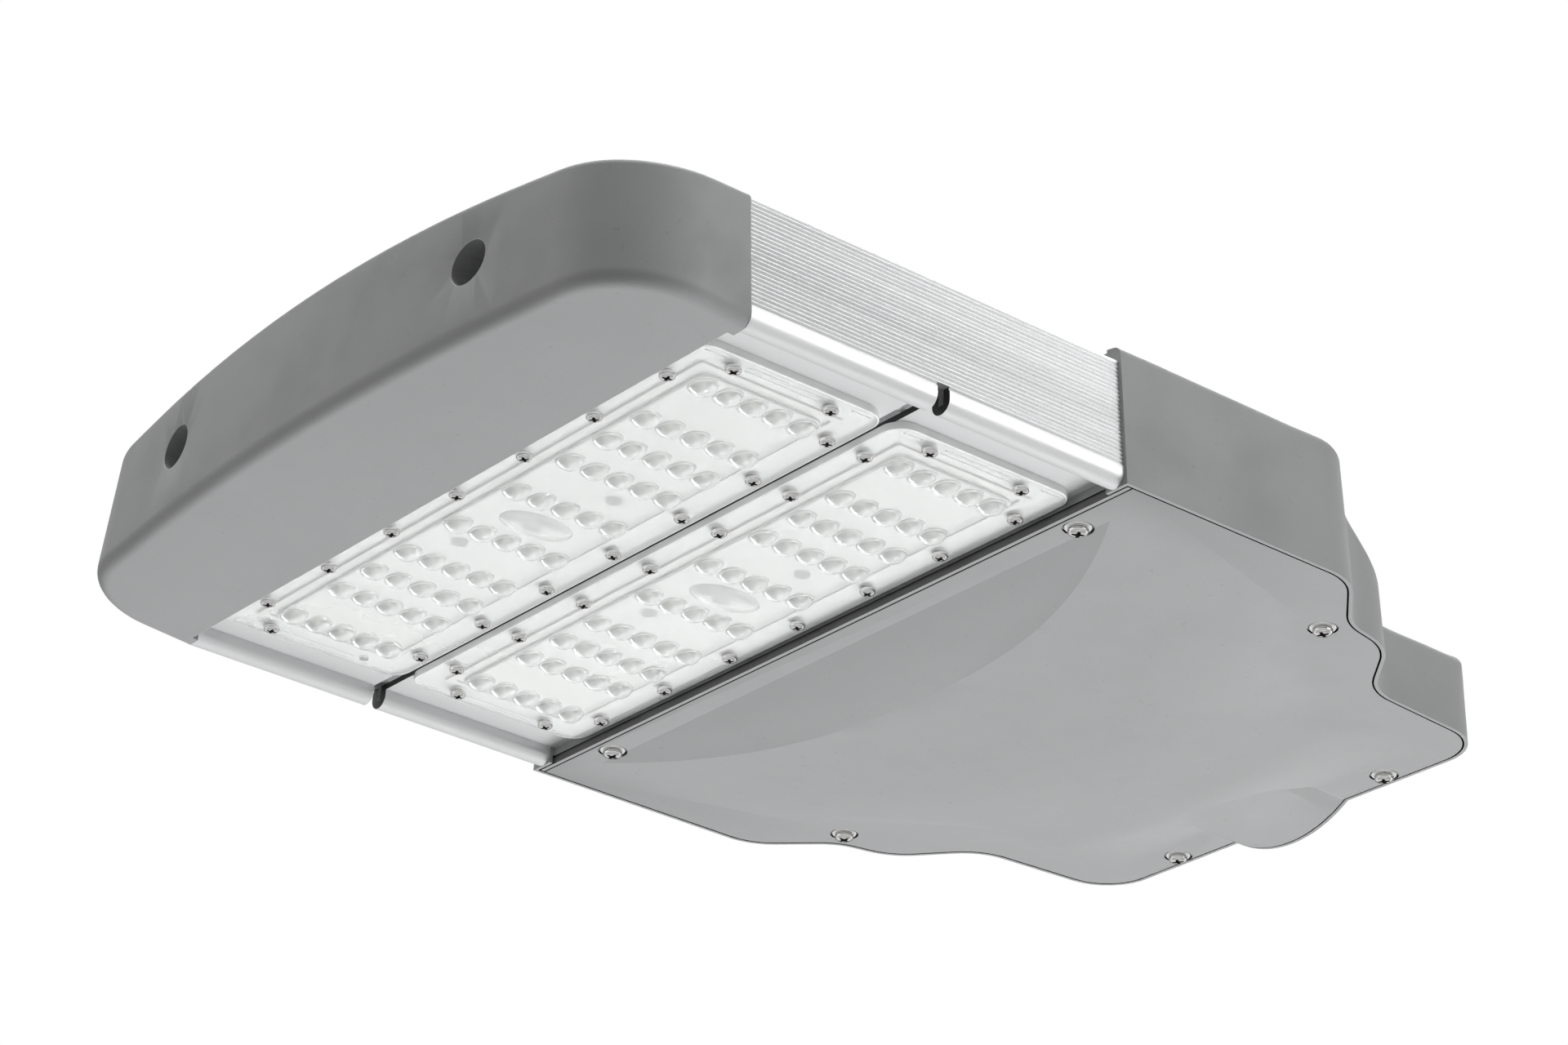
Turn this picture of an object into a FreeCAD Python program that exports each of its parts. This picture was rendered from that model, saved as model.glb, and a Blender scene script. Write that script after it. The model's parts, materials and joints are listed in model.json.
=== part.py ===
import FreeCAD, Part
import math
import os

V = FreeCAD.Vector

# LED street light head for a 60 mm pole arm, in millimetres.
# The origin is the centre of the pole socket's mouth, on the rear face of the housing.
# +X points out of the mouth towards the pole, +Z is up and the LEDs face down.

# Pole socket and the rim plane of the housing
pole_r = 30.5                # socket radius for an arm of 60 mm
socket_depth = 96.0          # from the mouth to the pole stop
socket_wall = 4.0
collar_length = 8.0          # full ring at the mouth, a half cradle behind it
pole_stop_thickness = 4.0
pole_stop_height = 9.0       # how far the stop reaches in under the cradle
rim_drop = 26.0              # from the pole axis down to the rim plane
hump_r = 52.5                # swelling under the pole, at the rear of housing and cover
hump_skin = 0.2              # what the swelling adds under the socket's wall
roof_over_pole = 7.5         # from the top of the socket to the outside of the roof

# Side walls lean inwards by this much per millimetre of height, as a casting's draft
draft = 0.075

# Driver housing: plan outline at the rim, taken from the rear
housing_length = 235.3
housing_half = 161.5
housing_wall = 3.0
front_recess = 1.9           # the front wall stands back between the two ears
ear_width = 10.3
tail_setback = 62.0          # each setback is measured inwards from the housing's side
tail_corner_r = 20.6
neck_back = 63.8
neck_setback = 57.2
neck_r = 23.0
shoulder_back = 85.5
shoulder_setback = 28.9
shoulder_r = 27.0
waist_back = 108.3
waist_setback = 24.5
waist_r = 22.0
flank_back = 132.4
flank_r = 24.0

# Driver housing: crowned top, heights above the rim
side_top = 52.0
tail_top = 28.0
fall_start_back = 139.3      # where the side edge starts to fall towards the pole
fall_end_back = 66.3
crown_setback = 3.5          # the crown narrows with the outline
crown_tail_overhang = 2.5
crown_narrow_end_back = 51.3
top_round = 4.0              # rounding along the upper edges

# Housing cover, its seat and its hardware
rim_strip = 1.3              # visible edge of the casting around the cover
cover_gap = 0.7
cover_wall = 2.2
cover_gasket = 1.0
gasket_width = 4.0
gasket_clearance = 0.5
ledge_width = 7.0
ledge_thickness = 3.0
cover_screw_front_ahead = 10.6   # from the ears back to the front screws
cover_screw_front_setback = 35.0
cover_screw_mid_back = 112.8
cover_screw_mid_setback = 33.8
cover_screw_rear_back = 7.2
cover_screw_tail_setback = 45.1
pillar_r = 5.5
m4_r = 2.0
m4_head_r = 3.6
m4_head_h = 2.6
m4_washer_r = 4.6
m4_washer_t = 0.9
washer_recess_clearance = 0.8
cover_screw_length = 16.0
screw_clearance = 0.25       # radial, around every screw shank
head_chamfer = 0.7

# Pillow of the cover: a crowned bulge cut by a sloping plane near the front
pillow_start_ahead = 14.3    # from the ears back to the foot of the slope
pillow_setback = 23.5
pillow_tail_setback = 15.5
pillow_narrow_start_back = 161.3
pillow_narrow_end_back = 64.3
pillow_depth_front = 7.4
pillow_slope_run = 37.0      # the slope reaches that depth after this run
pillow_deep_start_back = 184.3
pillow_deep_end_back = 86.3
pillow_run_out_back = 56.3
pillow_end_back = 14.3
pillow_power = 2.4
pillow_wall = 2.4            # slightly over the plate's wall, so the hollow opens inside the plate

# Heat sink extrusion
sink_exposed = 153.5         # between the ears of the housing and the front cap
sink_overlap = 2.4           # plate and fins run this far in under the cap
sink_setback = 1.7           # from the housing's side to the side of the heat sink
sink_side_drop = 1.5         # from the cap's upper edge down to the side of the heat sink
sink_wall = 3.0
bead_r = 4.3
bead_wall = 3.2
plate_bottom = 6.2
plate_thickness = 2.3
rib_foot = 7.0
rib_margin = 0.4
rib_pitch = 1.56
rib_depth = 0.6
fin_gap = 1.0                # from the fins up to the inside of the cap
fin_root = 2.4
fin_tip = 1.7
port_half = 85.0             # screw ports sit on the fins at this place
port_height = 32.0
port_r = 5.2
port_fin = 6                 # number of the port's fin, counted from the middle
inner_port_fin = 2
slot_width = 5.0
slot_shift = 0.7             # the cross slot lies this far behind the middle of the gap

# LED modules
module_gap = 3.7             # between the two lens plates
lens_front_gap = 0.35        # from the front end of the heat sink
lens_rear_gap = 0.95         # from the front wall of the housing
lens_end_margin = 23.1       # from the side of the heat sink
lens_corner_r = 8.0
lens_flange = 2.6
panel_margin_x = 13.2        # from the edge of the plate to its raised panel
panel_margin_y = 14.7
panel_corner_r = 5.0
panel_drop = 1.0             # the raised panel stands this far below the flange
panel_wall = 1.0
groove_width = 2.5
groove_depth = 1.6
groove_offset = 2.0          # from the cavity to the gasket groove
seal_clearance = 0.1
board_thickness = 1.0
board_clearance = 0.6
dome_columns = 5
dome_margin_x = 5.2          # from the panel's edge to the middle of the outer domes
dome_margin_y = 6.8
dome_first_row = 16.5        # from the middle of the plate
dome_close_step = 19.95      # between the middle rows, the steps beside them take the rest
dome_gap = 0.7
dome_length = 12.0           # along Y
dome_height = 2.8
chip_size = 3.0
chip_height = 0.7
lens_screw_edge = 6.0        # from the long edge of the plate
lens_screw_margin = 23.75    # from the end of the plate to the first screw of a row
lens_screw_steps = 6
end_screw_edge = 6.6         # from the end of the plate
end_screw_margin = 18.7
m3_r = 1.5
m3_head_r = 2.75
m3_head_h = 2.4
m3_low_head_h = 1.3
tip_clearance = 0.1
board_screw_x = 9.6
board_screw_step = 13.7      # from the first row of domes
cable_hole_r = 3.0
cable_seal_flange_r = 4.5
cable_seal_flange_t = 0.7
cable_seal_clearance = 0.15

# Front cap, outline taken at the top edge
cap_corner_back = 46.4       # from the rear edge of the cap to the corner of its outline
cap_nose_back = 62.0
cap_corner_r = 38.0
cap_nose_straight = 56.0     # straight stretch on each side of the rounded nose
cap_top = 48.0
cap_crown = 10.0
cap_wall = 3.0
cap_floor_rise = 5.0         # the underside rises by this much from its rear edge to the nose
cap_bottom_round = 5.0
cap_top_round = 3.0
upstand_clearance = 0.1
counterbore_r = 8.0
counterbore_floor = 4.0
boss_wall = 3.0
m5_r = 2.5
m5_head_r = 4.6
m5_head_h = 3.6
cap_screw_length = 16.0
housing_screw_length = 14.0

# Gear tray and what hangs from it
tray_front_gap = 14.1        # from the inside of the front wall
tray_rear_gap = 7.5          # from the flank of the housing
tray_setback = 31.5
tray_corner_r = 4.0
tray_thickness = 1.5
tray_height = 44.0           # lower face above the rim
tongue_length = 34.0
tongue_half = 42.0
tray_screw_inset = 7.0
tray_boss_r = 5.0
tray_screw_length = 8.0
lug_screw_excess = 1.0       # how far the screws of the lugs stand out above the tray
case_corner_r = 3.0
driver_width = 60.0
driver_height = 34.0
driver_margin = 8.0          # from the end of the tray to the driver's lug
driver_to_surge = 14.0
driver_lug = 12.0
driver_lug_t = 3.0
driver_groove = 2.0
surge_length = 48.0
surge_width = 30.0
surge_height = 26.0
surge_margin = 23.0          # from the end of the tray
surge_lug = 8.0
surge_lug_width = 16.0
terminal_lug = 8.0
terminal_length = 54.0
terminal_width = 22.0
terminal_height = 18.0
terminal_poles = 3
terminal_hole_r = 2.2
earth_back = 126.3
earth_y = 72.0
earth_boss_drop = 24.0

# Pole saddle
saddle_back = 68.0           # middle of the saddle, from the mouth
saddle_length = 34.0
saddle_thickness = 2.5
saddle_angle = 46.0          # half of the arc
saddle_clearance = 0.1
saddle_to_cover = 0.7
saddle_ear_drop = 16.0       # from the pole axis down to the ears
saddle_bolt_out = 11.5       # from the pole to the middle of the bolts
saddle_ear_margin = 10.0
saddle_boss_r = 8.0
saddle_boss_gap = 2.0
m8_r = 4.0
m8_head_r = 7.2
m8_head_h = 5.3
m8_washer_r = 8.0
m8_washer_t = 1.6
saddle_bolt_length = 30.0

# Wire grommet in the front wall of the housing
grommet_height = 15.0
grommet_hole_r = 3.6
grommet_flange_r = 5.0
grommet_flange_t = 1.2
grommet_bore_r = 2.2

surface_tolerance = 0.3      # for finding the edges that lie on a surface

# Places and sizes that follow from those above
rim_z = -rim_drop
ear_x = -housing_length
front_wall_x = ear_x + front_recess
cap_rear_x = ear_x - sink_exposed
sink_front_x = cap_rear_x - sink_overlap
ridge_top = rim_drop + pole_r + roof_over_pole
hump_drop = pole_r + socket_wall + hump_skin - rim_drop
ear_inner_half = housing_half - ear_width
tail_half = housing_half - tail_setback
crown_half_front = housing_half - crown_setback
crown_half_rear = tail_half + crown_tail_overhang
pillow_half_front = housing_half - pillow_setback
pillow_half_rear = tail_half - pillow_tail_setback
pillow_depth_rear = (pole_r + saddle_clearance + saddle_thickness + saddle_to_cover + pillow_wall
                     - rim_drop)
pillow_slope = pillow_depth_front / pillow_slope_run
sink_half_bottom = housing_half - sink_setback
sink_side_top = cap_top - sink_side_drop
fin_top = cap_top - cap_wall - fin_gap
cap_half = sink_half_bottom - draft * (cap_top - bead_r)
cap_floor_slope = cap_floor_rise / cap_nose_back
cap_upstand_top = plate_bottom + plate_thickness - upstand_clearance
cap_bow = cap_nose_back - cap_corner_back
cap_nose_r = (math.hypot(cap_half, cap_bow) - cap_nose_straight) * cap_half / cap_bow
lens_length = (front_wall_x - lens_rear_gap - sink_front_x - lens_front_gap - module_gap) / 2
lens_width = 2 * (sink_half_bottom - lens_end_margin)
panel_half_x = lens_length / 2 - panel_margin_x
panel_half_y = lens_width / 2 - panel_margin_y
dome_pitch_x = 2 * (panel_half_x - dome_margin_x) / (dome_columns - 1)
dome_width = dome_pitch_x - dome_gap
dome_wide_step = (panel_half_y - dome_margin_y - dome_first_row - 2 * dome_close_step) / 2
dome_rows_y = [dome_first_row + wide * dome_wide_step + close * dome_close_step
               for wide, close in ((0, 0), (1, 0), (1, 1), (1, 2), (2, 2))]
plate_top_z = rim_z + plate_bottom + plate_thickness
flange_z = rim_z + plate_bottom - lens_flange
board_z = rim_z + plate_bottom - board_thickness
ledge_z = rim_z + cover_wall + cover_gasket
hump_axis_z = rim_z - hump_drop + hump_r
fin_pitch = port_half / (port_fin + 0.5)
rear_module_x = front_wall_x - lens_rear_gap - lens_length / 2
module_x = {"front": rear_module_x - lens_length - module_gap, "rear": rear_module_x}
slot_x = rear_module_x - (lens_length + module_gap) / 2 + slot_shift
port_z = rim_z + port_height
port_places = [(side * (fin + 0.5) * fin_pitch, port_z)
               for fin in (inner_port_fin, port_fin) for side in (-1, 1)]
outer_ports = [(side * port_half, port_z) for side in (-1, 1)]
cover_screw_places = [(x, side * y) for x, y in (
    (ear_x + cover_screw_front_ahead, housing_half - cover_screw_front_setback),
    (-cover_screw_mid_back, housing_half - cover_screw_mid_setback),
    (-cover_screw_rear_back, tail_half - cover_screw_tail_setback)) for side in (-1, 1)]


# Geometry helpers

def mirrored(half):
    """Closed outline from its +Y half, listed from the rear to the front."""
    return half + [(x, -y, r) for x, y, r in reversed(half) if y > 0]


def inset(corners, distance, end_distance=None):
    """Outline parallel to a counter-clockwise one, inside it by the distance.

    The edges that lie square to X, at the front and rear, can move by a distance of their own.
    """
    if end_distance is None:
        end_distance = distance
    result = []
    for i, (x, y, r) in enumerate(corners):
        ax, ay = direction(corners[i - 1], corners[i])
        bx, by = direction(corners[i], corners[(i + 1) % len(corners)])
        move_a = end_distance if abs(ax) < 1e-9 else distance
        move_b = end_distance if abs(bx) < 1e-9 else distance
        turn = ax * by - ay * bx
        radius = max(r - math.copysign((move_a + move_b) / 2, turn), 0.0) if r else 0.0
        result.append((x + (move_a * bx - move_b * ax) / turn,
                       y + (move_a * by - move_b * ay) / turn, radius))
    return result


def direction(start, end):
    length = math.hypot(end[0] - start[0], end[1] - start[1])
    return (end[0] - start[0]) / length, (end[1] - start[1]) / length


def outline_wire(corners, z):
    """Wire of straight edges and arcs with each corner rounded by its own radius."""
    stretches = []
    for i, (x, y, r) in enumerate(corners):
        ax, ay = direction(corners[i - 1], corners[i])
        bx, by = direction(corners[i], corners[(i + 1) % len(corners)])
        half_turn = math.atan2(ax * by - ay * bx, ax * bx + ay * by) / 2
        reach = abs(r * math.tan(half_turn))
        start = V(x - ax * reach, y - ay * reach, z)
        end = V(x + bx * reach, y + by * reach, z)
        to_centre = V(bx - ax, by - ay, 0)
        if r:
            to_centre.normalize()
        middle = V(x, y, z) + to_centre * (r / math.cos(half_turn) - r)
        stretches.append((start, middle, end, r > 0))
    edges = []
    for i, (start, middle, end, rounded) in enumerate(stretches):
        before = stretches[i - 1][2]
        if before.distanceToPoint(start) > 1e-4:
            edges.append(Part.makeLine(before, start))
        if rounded:
            edges.append(Part.Arc(start, middle, end).toShape())
    return Part.Wire(edges)


def prism(corners, z_low, z_high):
    face = Part.Face(outline_wire(corners, z_low))
    return face.extrude(V(0, 0, z_high - z_low))


def drafted(corners, z_ref, z_low, z_high):
    """Body whose side walls lean inwards going up; the corners are its outline at z_ref."""
    wires = [outline_wire(inset(corners, draft * (z - z_ref), 0.0), z) for z in (z_low, z_high)]
    return Part.makeLoft(wires, True, True)


def box(x0, x1, y0, y1, z0, z1):
    return Part.makeBox(x1 - x0, y1 - y0, z1 - z0, V(x0, y0, z0))


def rod(r, x, y, z, length, axis=V(0, 0, 1)):
    return Part.makeCylinder(r, length, V(x, y, z), axis)


def bar(r, x0, x1, y, z):
    """Cylinder along X."""
    return Part.makeCylinder(r, x1 - x0, V(x0, y, z), V(1, 0, 0))


def rounded_rectangle(cx, cy, half_x, half_y, r):
    return [(cx + half_x, cy + half_y, r), (cx - half_x, cy + half_y, r),
            (cx - half_x, cy - half_y, r), (cx + half_x, cy - half_y, r)]


def turned(points):
    """Solid turned about Z from a profile of (radius, height) points."""
    profile = [V(r, 0, z) for r, z in points]
    face = Part.Face(Part.makePolygon(profile + profile[:1]))
    return face.revolve(V(0, 0, 0), V(0, 0, 1), 360)


def screw(r, head_r, head_h, length):
    """Screw with its head under z = 0 and its shank above."""
    return turned([(0, -head_h), (head_r - head_chamfer, -head_h), (head_r, -head_h + head_chamfer),
                   (head_r, 0), (r, 0), (r, length), (0, length)])


def polygon(points):
    return Part.Face(Part.makePolygon(points + points[:1]))


def washer(hole_r, r, thickness):
    return turned([(hole_r, 0), (r, 0), (r, thickness), (hole_r, thickness)])


def at(shape, x, y, z):
    return shape.translated(V(x, y, z))


def along_x(shape, x, y, z, sign=1):
    """Lay a part made on +Z along +X, or along -X with sign -1."""
    laid = shape.copy()
    laid.rotate(V(0, 0, 0), V(0, 1, 0), 90 * sign)
    return at(laid, x, y, z)


def group(shapes):
    return Part.makeCompound(list(shapes))


def fused(first, others):
    for other in others:
        first = first.fuse(other)
    return first.removeSplitter()


def smooth_step(x, start, end):
    t = min(max((x - start) / (end - start), 0.0), 1.0)
    return t * t * (3 - 2 * t)


def save(name, shape):
    shape.exportStep(os.path.join("parts", name + ".step"))


# Crowned surfaces

def crown(x_low, x_high, half_at, edge_at, ridge, lower_by, rows=15):
    """Solid under a crowned surface: edge height at y = half, ridge height in the middle."""
    grid = []
    for i in range(rows):
        x = x_low + (x_high - x_low) * i / (rows - 1)
        row = []
        for step in range(-6, 7):
            share = step / 5
            height = edge_at(x) + (ridge - edge_at(x)) * (1 - share ** 2)
            row.append(V(x, share * half_at(x), rim_z + height - lower_by))
        grid.append(row)
    surface = Part.BSplineSurface()
    surface.interpolate(grid)
    return surface.toShape().extrude(V(0, 0, -2 * ridge))


def housing_crown_half(x):
    narrow = smooth_step(x, -fall_start_back, -crown_narrow_end_back)
    return crown_half_front + (crown_half_rear - crown_half_front) * narrow


def housing_edge(x):
    return side_top + (tail_top - side_top) * smooth_step(x, -fall_start_back, -fall_end_back)


def housing_crown(lower_by):
    margin = 2 * housing_wall
    return crown(ear_x - margin, margin, housing_crown_half, housing_edge, ridge_top, lower_by)


def cap_crown_solid(lower_by):
    return crown(cap_rear_x - 2 * cap_nose_back, cap_rear_x + cap_wall, lambda x: cap_half,
                 lambda x: cap_top, cap_top + cap_crown, lower_by, rows=3)


def crown_height(x, y, half, edge, ridge):
    return rim_z + edge + (ridge - edge) * (1 - (y / half) ** 2)


def edges_where(shape, test):
    """Edges of a shape with all their points passing a test."""
    return [edge for edge in shape.Edges if all(test(p) for p in edge.discretize(5))]


# Driver housing

housing_outline = mirrored([
    (0.0, tail_half, tail_corner_r),
    (-neck_back, housing_half - neck_setback, neck_r),
    (-shoulder_back, housing_half - shoulder_setback, shoulder_r),
    (-waist_back, housing_half - waist_setback, waist_r),
    (-flank_back, housing_half, flank_r),
    (ear_x, housing_half, 0.0),
])


def on_housing_top(p):
    height = crown_height(p.x, p.y, housing_crown_half(p.x), housing_edge(p.x), ridge_top)
    return abs(p.z - height) < surface_tolerance and p.x > ear_x + surface_tolerance


def make_driver_housing():
    top = rim_z + ridge_top + top_round
    body = drafted(housing_outline, rim_z, rim_z, top).common(housing_crown(0.0))
    body = body.makeFillet(top_round, edges_where(body, on_housing_top))
    body = body.cut(box(ear_x - 1, front_wall_x, -ear_inner_half, ear_inner_half, rim_z - 1, top))

    # Room inside, the seat of the cover and the opening within its ledge
    room = inset(housing_outline, housing_wall)
    room = [(max(x, front_wall_x + housing_wall), y, r) for x, y, r in room]
    inside = drafted(room, rim_z, ledge_z + ledge_thickness, top).common(housing_crown(housing_wall))
    seat = prism(inset(housing_outline, rim_strip), rim_z - 1, ledge_z)
    opening_outline = inset(housing_outline, ledge_width)
    opening = prism(opening_outline, ledge_z - 1, ledge_z + ledge_thickness + 1)
    shell = body.cut(fused(inside, [seat, opening]))

    # Lobe under the pole and the collar around it
    lobe = bar(hump_r, -rim_strip, 0, 0, hump_axis_z)
    lobe = lobe.common(box(-rim_strip, 0, -hump_r, hump_r, rim_z - hump_drop, 0))
    collar = bar(pole_r + socket_wall, -collar_length, 0, 0, 0)
    collar = collar.common(bar(hump_r - cover_wall - cover_gap, -collar_length, 0, 0, hump_axis_z))

    # Half cradle over the pole, with skirts and a stop at its inner end
    cradle_r = pole_r + socket_wall
    skirt_z = saddle_ear_top + saddle_boss_gap
    inner_x = -socket_depth - pole_stop_thickness
    cradle = bar(cradle_r, inner_x, 0, 0, 0).common(box(inner_x, 0, -cradle_r, cradle_r, 0, cradle_r))
    skirts = box(inner_x, 0, -cradle_r, cradle_r, skirt_z, 0)

    # Pillars for the cover screws, bosses for the tray, the saddle bolts and the earth screw
    reach = 2 * ridge_top
    pillars = [rod(pillar_r, x, y, ledge_z, reach) for x, y in cover_screw_places]
    tray_bosses = [rod(tray_boss_r, x, y, tray_top_z, reach) for x, y in tray_screw_places]
    saddle_bosses = [rod(saddle_boss_r, -saddle_back, side * saddle_bolt_y, skirt_z, reach)
                     for side in (-1, 1)]
    earth_boss = rod(tray_boss_r, -earth_back, earth_y, earth_z, reach)
    raised = [collar, cradle, skirts, earth_boss] + pillars + tray_bosses + saddle_bosses
    core = inset(housing_outline, housing_wall / 2, 0.0)
    envelope = drafted(core, rim_z, rim_z - hump_drop, top).common(housing_crown(housing_wall / 2))
    raised = fused(raised[0], raised[1:]).common(envelope)
    shell = fused(shell, [lobe, raised])

    # Socket, open downwards inside so that the saddle can close on the pole
    stop_x = -socket_depth
    shell = shell.cut(bar(pole_r, stop_x, 1, 0, 0))
    shell = shell.cut(bar(pole_r - pole_stop_height, inner_x - 1, stop_x, 0, 0))
    shell = shell.cut(box(stop_x, -collar_length, -pole_r, pole_r, 2 * rim_z, 0))
    low = pole_r - pole_stop_height
    shell = shell.cut(box(inner_x - 1, stop_x, -low, low, 2 * rim_z, 0))

    # Screw holes
    holes = [rod(m4_r + screw_clearance, x, y, rim_z, cover_screw_length + 2) for x, y in cover_screw_places]
    holes += [rod(m4_r + screw_clearance, x, y, tray_top_z - 1, tray_screw_length + 1)
              for x, y in tray_screw_places]
    holes += [rod(m8_r + screw_clearance, -saddle_back, side * saddle_bolt_y, skirt_z - 1,
                  saddle_bolt_length + 1) for side in (-1, 1)]
    holes.append(rod(m5_r + screw_clearance, -earth_back, earth_y, earth_z - 1, housing_screw_length))
    holes += [bar(m5_r + screw_clearance, front_wall_x - 1, front_wall_x + housing_wall + 1, y, z)
              for y, z in port_places]
    holes.append(bar(grommet_hole_r, front_wall_x - 1, front_wall_x + housing_wall + 1,
                     0, rim_z + grommet_height))
    return shell.cut(group(holes))


def cover_gasket_shape():
    outer = inset(housing_outline, rim_strip + cover_gap + gasket_clearance)
    inner = inset(outer, gasket_width)
    low = rim_z + cover_wall
    ring = prism(outer, low, ledge_z).cut(prism(inner, low - 1, ledge_z + 1))
    socket_half = pole_r + socket_wall + gasket_clearance
    ring = ring.cut(box(-collar_length, 1, -socket_half, socket_half, low - 1, ledge_z + 1))
    return ring.cut(group(rod(m4_r + screw_clearance, x, y, low - 1, cover_gasket + 2)
                          for x, y in cover_screw_places))


# Housing cover

def pillow_half(x):
    narrow = smooth_step(x, -pillow_narrow_start_back, -pillow_narrow_end_back)
    return pillow_half_front + (pillow_half_rear - pillow_half_front) * narrow


def pillow_depth(x):
    deepen = smooth_step(x, -pillow_deep_start_back, -pillow_deep_end_back)
    run_out = 1 - smooth_step(x, -pillow_run_out_back, -pillow_end_back)
    return (pillow_depth_front + (pillow_depth_rear - pillow_depth_front) * deepen) * run_out


def pillow(raise_by):
    """Solid above the crowned underside of the cover."""
    x_low = ear_x + pillow_start_ahead
    rows = 22
    columns = 10
    grid = []
    for i in range(rows):
        x = x_low + (-pillow_end_back - x_low) * i / (rows - 1)
        row = []
        for step in range(-columns, columns + 1):
            share = step / columns
            depth = pillow_depth(x) * (1 - abs(share) ** pillow_power)
            row.append(V(x, share * pillow_half(x), rim_z - depth + raise_by))
        grid.append(row)
    surface = Part.BSplineSurface()
    surface.interpolate(grid)
    deep = surface.toShape().extrude(V(0, 0, 2 * pillow_depth_rear))
    far = 2 * housing_length
    return deep.common(box(-far, far, -far, far, -far, rim_z + cover_wall + raise_by))


def hump(raise_by):
    r = hump_r - raise_by
    top = rim_z + cover_wall + raise_by
    length_back = pillow_deep_end_back
    end = -rim_strip - cover_gap
    whole = bar(r, -length_back, end, 0, hump_axis_z)
    return whole.common(box(-length_back, end, -r, r, hump_axis_z - r - 1, top))


def slope_wedge(raise_by):
    """What the sloping plane cuts away under the front of the pillow."""
    x0 = ear_x + pillow_start_ahead
    run = 2 * pillow_depth_rear / pillow_slope
    z0 = rim_z + raise_by
    points = [V(x0 - run, 0, z0 - 1e-3), V(x0, 0, z0), V(x0 + run, 0, z0 - pillow_slope * run),
              V(x0 - run, 0, z0 - pillow_slope * run)]
    face = Part.Face(Part.makePolygon(points + points[:1]))
    wedge = face.extrude(V(0, 4 * pillow_half_front, 0))
    return wedge.translated(V(0, -2 * pillow_half_front, 0))


def make_cover():
    outline = inset(housing_outline, rim_strip + cover_gap)
    plate = prism(outline, rim_z, rim_z + cover_wall)
    bulge = pillow(0.0).cut(slope_wedge(0.0))
    cover = fused(plate, [bulge, hump(0.0)])
    hollow = pillow(pillow_wall).cut(slope_wedge(pillow_wall))
    cover = cover.cut(hollow).cut(hump(cover_wall))
    recess_r = m4_washer_r + washer_recess_clearance
    cuts = [rod(recess_r, x, y, rim_z - 1, 1 + m4_washer_t) for x, y in cover_screw_places]
    cuts += [rod(m4_r + screw_clearance, x, y, rim_z, 2 * cover_wall) for x, y in cover_screw_places]
    return cover.cut(group(cuts))


# Heat sink

def make_heat_sink():
    outer = sink_half_bottom
    inner_leg = outer - 2 * bead_r
    axis = outer - bead_r
    groove_low = axis - (bead_r - bead_wall)
    groove_high = axis + (bead_r - bead_wall)
    top_y = outer - draft * (sink_side_top - bead_r)
    plate_top = plate_bottom + plate_thickness

    def side_y(height):
        return outer - draft * (height - bead_r)

    # Outer side of the wall with its small ribs, then its inner side down into the groove
    ribs = [(side_y(rib_foot), rib_foot)]
    while ribs[-1][1] + rib_pitch < sink_side_top - rib_margin:
        low = ribs[-1][1]
        ribs.append((side_y(low + rib_pitch / 2) - rib_depth, low + rib_pitch / 2))
        ribs.append((side_y(low + rib_pitch), low + rib_pitch))
    wall = ribs + [(top_y, sink_side_top), (top_y - sink_wall, sink_side_top),
                   (groove_high, plate_top), (groove_high, bead_wall)]
    groove = [(groove_low, bead_wall), (groove_low, plate_top)]

    # Fins, from the outermost to the middle
    fins = []
    fin = int((groove_low - fin_root) / fin_pitch - 0.5)
    while fin >= 0:
        y = (fin + 0.5) * fin_pitch
        height = fin_top + cap_crown * (1 - (y / outer) ** 2)
        fins += [(y + fin_root / 2, plate_top), (y + fin_tip / 2, height),
                 (y - fin_tip / 2, height), (y - fin_root / 2, plate_top)]
        fin -= 1

    def point(y, height):
        return V(sink_front_x, y, rim_z + height)

    half = wall + groove + fins
    edges = []
    for side in (1, -1):
        start = point(side * inner_leg, bead_r)
        low = point(side * axis, 0)
        end = point(side * outer, bead_r)
        edges.append(Part.makeLine(point(0, plate_bottom), point(side * inner_leg, plate_bottom)))
        edges.append(Part.makeLine(point(side * inner_leg, plate_bottom), start))
        edges.append(Part.Arc(start, low, end).toShape())
        path = [end] + [point(side * y, height) for y, height in half] + [point(0, plate_top)]
        edges += [Part.makeLine(a, b) for a, b in zip(path, path[1:])]
    wire = Part.Wire(Part.__sortEdges__(edges))
    length = front_wall_x - sink_front_x
    body = Part.Face(wire).extrude(V(length, 0, 0))

    # Screw ports along the extrusion
    ports = [bar(port_r, sink_front_x, front_wall_x, y, z) for y, z in port_places]
    body = fused(body, ports)
    body = body.cut(group(bar(m5_r + screw_clearance, sink_front_x - 1, front_wall_x + 1, y, z)
                          for y, z in port_places))

    # The side walls stop at the ears and at the cap, plate and fins run on
    for side in (-1, 1):
        y0, y1 = sorted((side * (ear_inner_half - screw_clearance), side * 2 * outer))
        body = body.cut(box(ear_x, 0, y0, y1, rim_z - 1, rim_z + side_top))
        body = body.cut(box(2 * sink_front_x, cap_rear_x, y0, y1, rim_z - 1, rim_z + side_top))

    # Cross slot between the modules, from below up to the fins
    body = body.cut(box(slot_x - slot_width / 2, slot_x + slot_width / 2, -2 * outer, 2 * outer,
                        rim_z - 1, plate_top_z))

    # Holes for the lens screws, the board screws and the module cables
    holes = []
    for name, x in module_x.items():
        holes += [rod(m3_r + screw_clearance, x + dx, dy, rim_z, plate_top_z - rim_z)
                  for dx, dy in lens_screw_offsets() + board_screw_offsets()]
        holes.append(rod(cable_hole_r, x, 0, rim_z, plate_top_z - rim_z))
    return body.cut(group(holes))


# LED modules

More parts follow.
